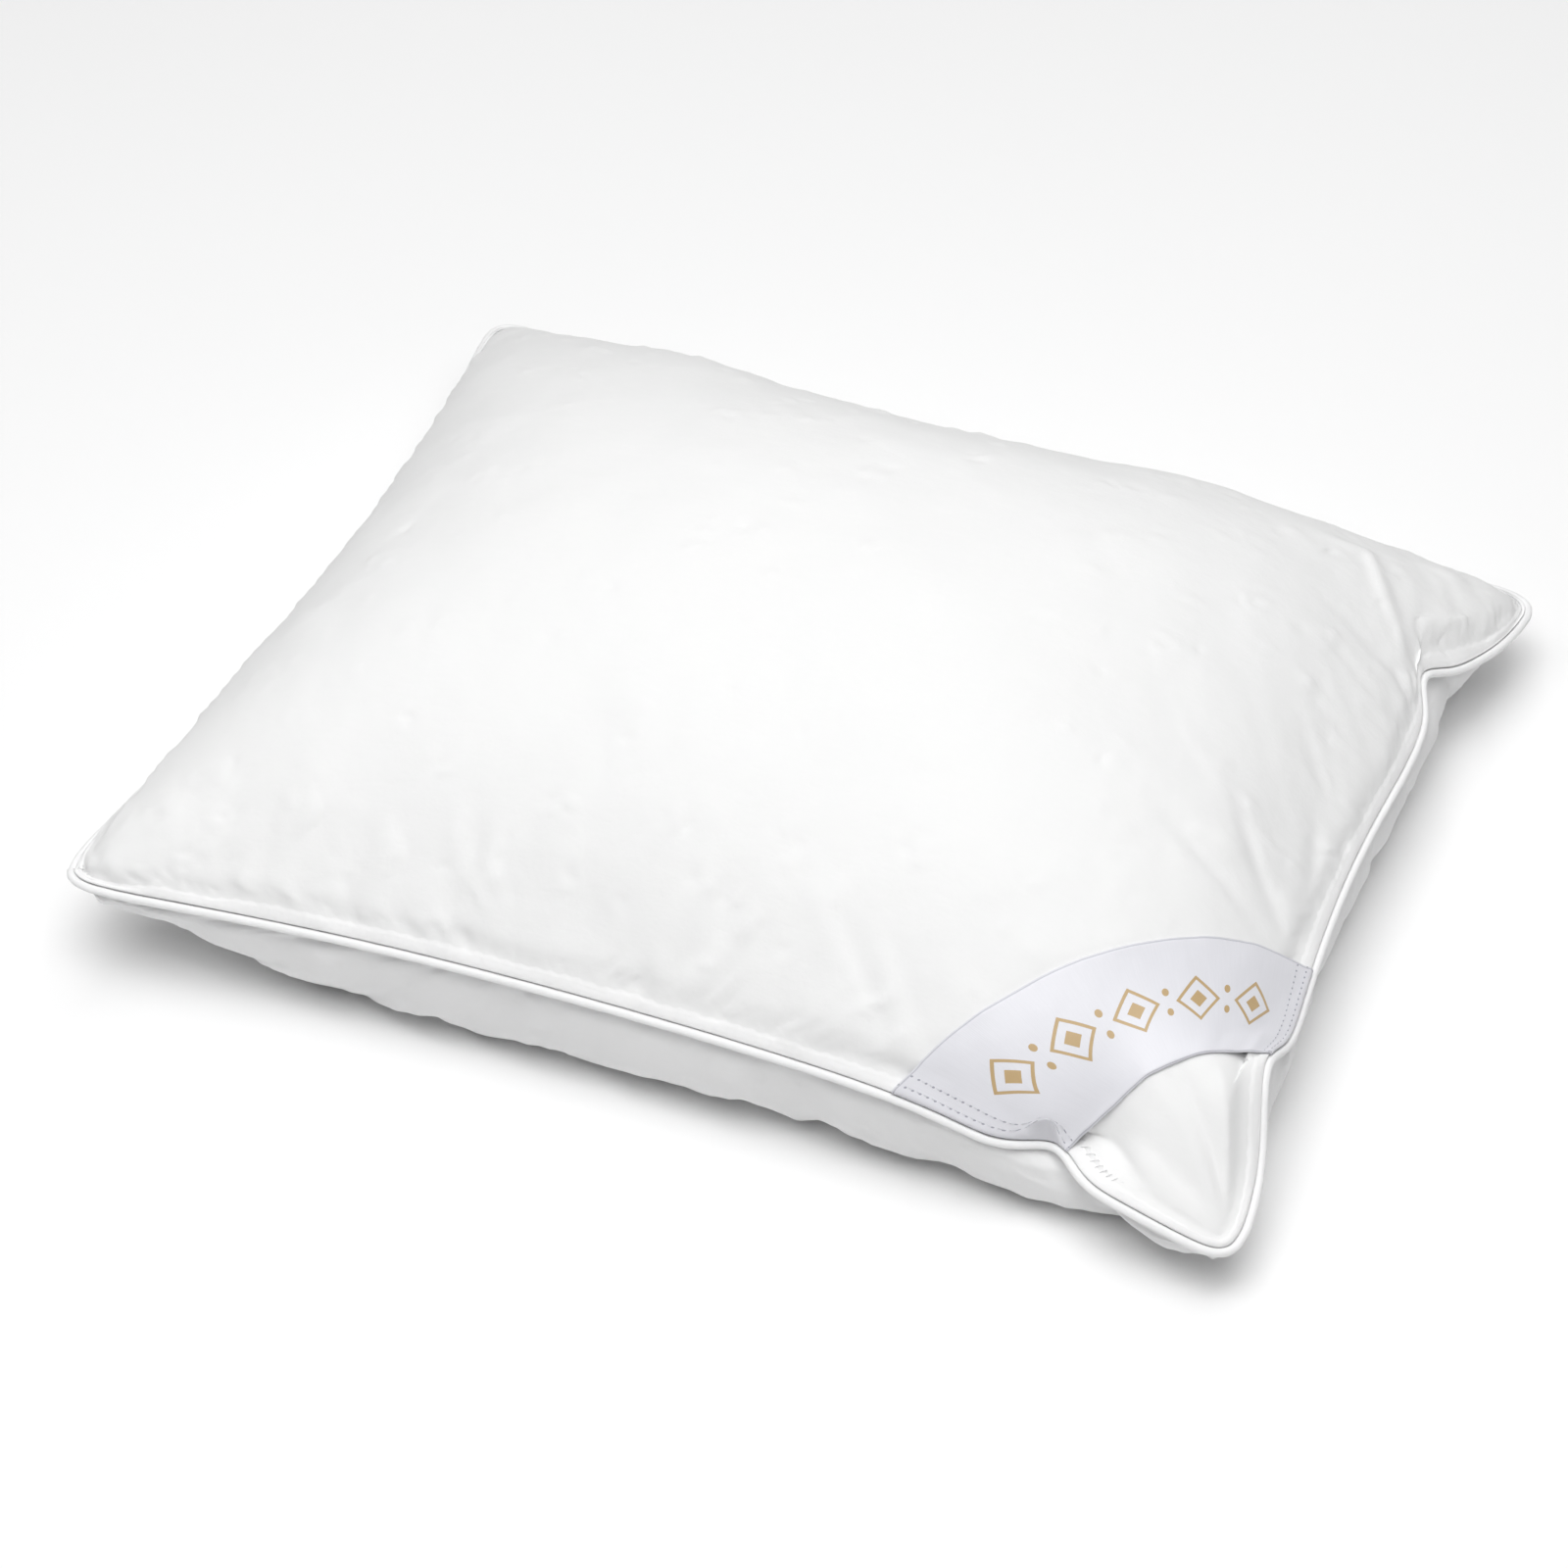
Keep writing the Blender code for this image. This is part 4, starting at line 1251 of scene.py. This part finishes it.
def label_band(top):
    """The ribbon over the corner with its hemmed ends, its grid of points, and its length."""
    surface = BVHTree.FromObject(top, bpy.context.evaluated_depsgraph_get())
    direction = np.array([1.0, 1.0]) / math.sqrt(2.0)
    across = np.array([direction[1], -direction[0]])
    edge = SEAM.ring(BAND_END_ALONG, SKIN_ABOVE)
    columns = []
    for offset in np.linspace(-RIBBON_WIDTH / 2, RIBBON_WIDTH / 2, BAND_STRIPS + 1):
        origin = np.array(BAND_MIDDLE) + offset * across
        first, last, first_z, last_z = crossings(edge, origin, direction)
        distances = np.linspace(first, last, BAND_STEPS * BAND_SAMPLES + 1)
        plan = origin + distances[:, None] * direction
        heights = [height_at(surface, x, y, 0.0) for x, y in plan]
        heights[0], heights[-1] = first_z - BAND_LIFT / 2, last_z - BAND_LIFT / 2
        ribbon = np.column_stack([plan, pulled_tight(distances, heights) + BAND_LIFT])
        gone = gone_along(ribbon)
        even = np.linspace(0.0, gone[-1], BAND_STEPS + 1)
        columns.append(np.stack([np.interp(even, gone, ribbon[:, n]) for n in range(3)], axis=1))
    grid = np.stack(columns, axis=1)
    for sweep in range(4):
        if sweep < 3:
            grid[1:-1, 1:-1] = (grid[1:-1, :-2] + 2 * grid[1:-1, 1:-1] + grid[1:-1, 2:]) / 4.0
            grid[1:-1] = (grid[:-2] + 2 * grid[1:-1] + grid[2:]) / 4.0
        for i in range(1, len(grid) - 1):
            for point in grid[i]:
                for dx, dy in BAND_AROUND:
                    clear = height_at(surface, point[0] + dx, point[1] + dy, 0.0) + BAND_CLEAR
                    point[2] = max(point[2], clear)
    along = gone_along(grid[:, BAND_STRIPS // 2])
    length = along[-1]
    v = np.linspace(-RIBBON_WIDTH / 2, RIBBON_WIDTH / 2, BAND_STRIPS + 1)
    u = along - length / 2
    from_end = np.minimum(along, length - along)[:, None]
    ripple = np.sin(2 * math.pi * (u[:, None] + 0.6 * v[None, :]) / 0.021 + 1.0) * np.exp(-from_end / 0.03)
    grid[..., 2] += 0.0004 * ripple * smooth_step(from_end / 0.006)
    return piece_of_ribbon(grid, u, v, satin("label_satin", LABEL_WHITE, length)), grid, length


def ribbon_normals(grid):
    """The direction square to the ribbon at each of its points, on its outer side."""
    normal = np.cross(np.gradient(grid, axis=1), np.gradient(grid, axis=0))
    normal /= np.linalg.norm(normal, axis=2)[..., None]
    return -normal if normal[len(grid) // 2, 0, 2] < 0.0 else normal


def piece_of_ribbon(grid, u, v, surface):
    """The ribbon with a hem turned under at each end."""
    normal = ribbon_normals(grid)
    under = HEM_ROWS
    start = [grid[under - k] - HEM_BELOW * normal[under - k] for k in range(under)]
    start.append(grid[0] - HEM_BELOW / 2 * normal[0])
    finish = [grid[-1] - HEM_BELOW / 2 * normal[-1]]
    finish += [grid[-2 - k] - HEM_BELOW * normal[-2 - k] for k in range(under)]
    rows = np.stack([*start, *grid, *finish])
    ends = [u[0] - abs(u[under - k] - u[0]) for k in range(under)] + [u[0]]
    tails = [u[-1]] + [u[-1] + abs(u[-2 - k] - u[-1]) for k in range(under)]
    along = np.concatenate([ends, u, tails])
    cut = flat_grid(along, v)
    faces = open_quads(*rows.shape[:2])
    if np.cross(rows[1, 0] - rows[0, 0], rows[0, 1] - rows[0, 0])[2] > 0.0:
        faces = [f[::-1] for f in faces]
    return piece("label_ribbon", rows.reshape(-1, 3), faces, surface, cut, thickness=CLOTH)


def label_stitches(name, grid, length, from_start, surface):
    """Two rows of short stitches at one end of the ribbon, each dipping into it at both ends."""
    lines = []
    normal = ribbon_normals(grid)
    step = length / BAND_STEPS
    for k, row in enumerate(ROWS_FROM_END):
        at = row / step if from_start else BAND_STEPS - row / step
        i = int(at)
        line = grid[i] + (at - i) * (grid[i + 1] - grid[i])
        facing = normal[i]
        across = np.linspace(-RIBBON_WIDTH / 2, RIBBON_WIDTH / 2, len(line))
        count = int((RIBBON_WIDTH - 0.004) / HOLE_PITCH)
        for j in range(count):
            middle = (j - (count - 1) / 2.0 + 0.5 * (k % 2)) * HOLE_PITCH
            places = middle + np.linspace(-0.32, 0.32, 5) * HOLE_PITCH
            lift = CLOTH / 2 + STITCH_LIFT * np.array([-2.0, 0.6, 1.0, 0.6, -2.0])
            stitch = np.stack([np.interp(places, across, line[:, n]) for n in range(3)], axis=1)
            square = np.stack([np.interp(places, across, facing[:, n]) for n in range(3)], axis=1)
            stitch += lift[:, None] * square
            lines.append(stitch)
    return tubes(name, lines, STITCH_LIFT, 5, surface)


def closing_stitches(surface):
    """The row that shuts the filling opening, on the band of the back side."""
    seam = SEAM_FINE
    first = TICKS * (COUNTS[0] + COUNTS[1])
    count = TICKS * COUNTS[2]
    row = seam.ring(0.0045, SKIN_ABOVE + BAND_STEP)[first:first + count]
    square = seam.square[first:first + count]
    lines = []
    for start in range(int(0.38 * count), int(0.62 * count), 5):
        lift = CLOTH / 2 + 0.00022 * np.array([-1.6, 1.0, 1.2, -1.6])
        lines.append(row[start:start + 4] + lift[:, None] * square[start:start + 4])
    return tubes("closing_thread", lines, 0.0002, 5, surface)


CARE_AT = 0.80  # the care label's place, as a share of the back side
CARE_HALF = 14  # half its width, in points of the seam
CARE_DROP = 0.034
CARE_STEPS = 12
CARE_THICKNESS = 0.00025


def care_label(surface):
    """A short blank label caught in the back seam, folded in two, hanging behind the piping."""
    seam = SEAM_FINE
    first = TICKS * (COUNTS[0] + COUNTS[1])
    middle = first + int(CARE_AT * TICKS * COUNTS[2])
    span = slice(middle - CARE_HALF, middle + CARE_HALF + 1, 2)
    tail = -TAIL_ABOVE - CLOTH - GAP
    caught = ((0.009, tail), (0.0004, tail), (-0.0004, -0.0020), (-0.0006, -0.0032))
    rows = [seam.ring(along, above)[span] for along, above in caught]
    out = seam.outward[span]
    for k in range(1, CARE_STEPS + 1):
        t = k / CARE_STEPS
        sway = 0.0035 * math.sin(math.pi * t) - 0.001 * t
        rows.append(rows[3] + CARE_DROP * t * np.array([0.0, 0.0, -1.0]) + sway * out)
    back = [row - 0.0009 * out for row in rows[4:-1]]
    fold = rows[-1] - 0.00045 * out + [0.0, 0.0, -0.0004]
    rows += [fold, *back[::-1]]
    grid = np.stack(rows)
    gone = gone_along(grid[:, 0])
    wide = np.linalg.norm(grid[4, -1] - grid[4, 0])
    cut = flat_grid(gone, np.linspace(0.0, wide, grid.shape[1]))
    faces = open_quads(*grid.shape[:2])
    made = piece("care_tag", grid.reshape(-1, 3), faces, surface, cut, thickness=CARE_THICKNESS)
    return made, gone[-1], wide


# ---------------------------------------------------------------- the pieces, made

WHITE = (0.905, 0.905, 0.900)
SHADE = (0.865, 0.867, 0.868)
upper = cambric("cambric_upper", WHITE, SHADE, rim_light=(0.91, 0.91, 0.91))
# The lower panel is the same cambric as the upper one, painted darker: painted shade on the underside.
lower = cambric("cambric_lower_painted_shade", (0.86, 0.86, 0.86), (0.82, 0.82, 0.825))
bias_strip = cambric("cambric_bias", (0.92, 0.92, 0.92), (0.88, 0.88, 0.885), bias=True)
white_thread = yarn("white_thread", (0.93, 0.93, 0.93), (0.80, 0.80, 0.82), 0.0011)
label_thread = yarn("label_thread", (0.88, 0.88, 0.92), (0.70, 0.70, 0.76), 0.0008, 0.45)
cotton_cord = yarn("cotton_cord", (0.90, 0.87, 0.80), (0.72, 0.69, 0.62), 0.006, 0.85)
care_satin = satin("care_satin", (0.90, 0.90, 0.90))

top_points, bottom_points = settled_panels()
SEAM.pinched(True)
top = top_panel(top_points, upper)
bottom = bottom_panel(bottom_points, lower)
sleeve = piping_sleeve(bias_strip)
cord = tube_ring("piping_filler", (PIPING_ALONG, PIPING_ABOVE / 2), CORD_RADIUS, 8, cotton_cord)
lock = tube_ring("seam_thread", (0.0020, TOP_ALLOWANCE_ABOVE + FOLD_RADIUS), THREAD_RADIUS, 6, white_thread)
over = overlock(white_thread)
fill = filling(top, bottom, down_surface())
ribbon, ribbon_grid, ribbon_length = label_band(top)
front_rows = label_stitches("label_thread_front", ribbon_grid, ribbon_length, True, label_thread)
side_rows = label_stitches("label_thread_side", ribbon_grid, ribbon_length, False, label_thread)
closing = closing_stitches(white_thread)
care, care_long, care_wide = care_label(care_satin)

PIECES = (
    (top, "top_panel", "cambric"),
    (bottom, "bottom_panel", "cambric_underside"),
    (sleeve, "piping_sleeve", "piping"),
    (cord, "piping_cord", "cord"),
    (lock, "seam_stitching", "thread"),
    (over, "overlock_stitching", "thread"),
    (fill, "down_fill", "down"),
    (ribbon, "label_strip", "satin"),
    (front_rows, "label_stitching_front", "label_thread"),
    (side_rows, "label_stitching_side", "label_thread"),
    (closing, "closing_stitching", "thread"),
    (care, "care_label", "care_satin"),
)
for made, node, slot in PIECES:
    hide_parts(node)
    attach(made, "root")


# ---------------------------------------------------------------- floor, light and camera

def floor():
    mesh = bpy.data.meshes.new("floor")
    mesh.from_pydata([(-6, -6, 0), (6, -6, 0), (6, 6, 0), (-6, 6, 0)], [], [(0, 1, 2, 3)])
    obj = bpy.data.objects.new("floor", mesh)
    paint = {"Base Color": (0.97, 0.97, 0.97), "Roughness": 0.9, "Specular IOR Level": 0.1}
    mesh.materials.append(Surface("floor_white").finished(paint))
    bpy.context.scene.collection.objects.link(obj)


def aimed(obj, place, target):
    """A light or the camera put in a place and turned to look at a target."""
    obj.location = place
    obj.rotation_euler = (Vector(place) - Vector(target)).to_track_quat("Z", "Y").to_euler()
    bpy.context.scene.collection.objects.link(obj)


def direction_of(turn, rise):
    """The direction turned this far from the front and raised this far over the floor."""
    flat = math.cos(rise)
    return Vector((math.sin(turn) * flat, -math.cos(turn) * flat, math.sin(rise)))


def area_light(name, place, power):
    data = bpy.data.lights.new(name, "AREA")
    data.shape = "RECTANGLE"
    data.size = data.size_y = LIGHT_SIZE
    data.energy = power
    aimed(bpy.data.objects.new(name, data), place, LIGHT_TARGET)


LIGHT_DISTANCE = 3.2
LIGHT_SIZE = 2.4
LIGHT_TARGET = (0.0, 0.0, 0.05)
# Softboxes: name, turn from the front, rise, and how bright white paper facing it alone would be
LIGHTS = (
    ("softbox_back", 180.0, 68.0, 0.28),
    ("softbox_front_left", -40.0, 70.0, 0.32),
    ("softbox_front_right", 32.0, 68.0, 0.60),
)


def studio():
    world = bpy.data.worlds.new("studio")
    bpy.context.scene.world = world
    world.use_nodes = True
    background = world.node_tree.nodes["Background"]
    background.inputs["Color"].default_value = (1.0, 1.0, 1.0, 1.0)
    background.inputs["Strength"].default_value = 0.09
    for name, turn, rise, share in LIGHTS:
        place = LIGHT_DISTANCE * direction_of(math.radians(turn), math.radians(rise))
        area_light(name, place, share * math.pi**2 * LIGHT_DISTANCE**2)
    bpy.context.scene.view_settings.view_transform = "Standard"


CAMERA_TURN = math.radians(22.26)
CAMERA_RISE = math.radians(40.91)
CAMERA_DISTANCE = 2.364
CAMERA_TARGET = (-0.0255, 0.0067, 0.0)
SENSOR = 36.0
FOCAL = 3.07125  # focal length as a share of the sensor's width


def camera():
    data = bpy.data.cameras.new("camera")
    data.sensor_width = SENSOR
    data.lens = SENSOR * FOCAL
    obj = bpy.data.objects.new("camera", data)
    target = Vector(CAMERA_TARGET)
    aimed(obj, target + CAMERA_DISTANCE * direction_of(CAMERA_TURN, CAMERA_RISE), target)
    bpy.context.scene.camera = obj


floor()
studio()
camera()
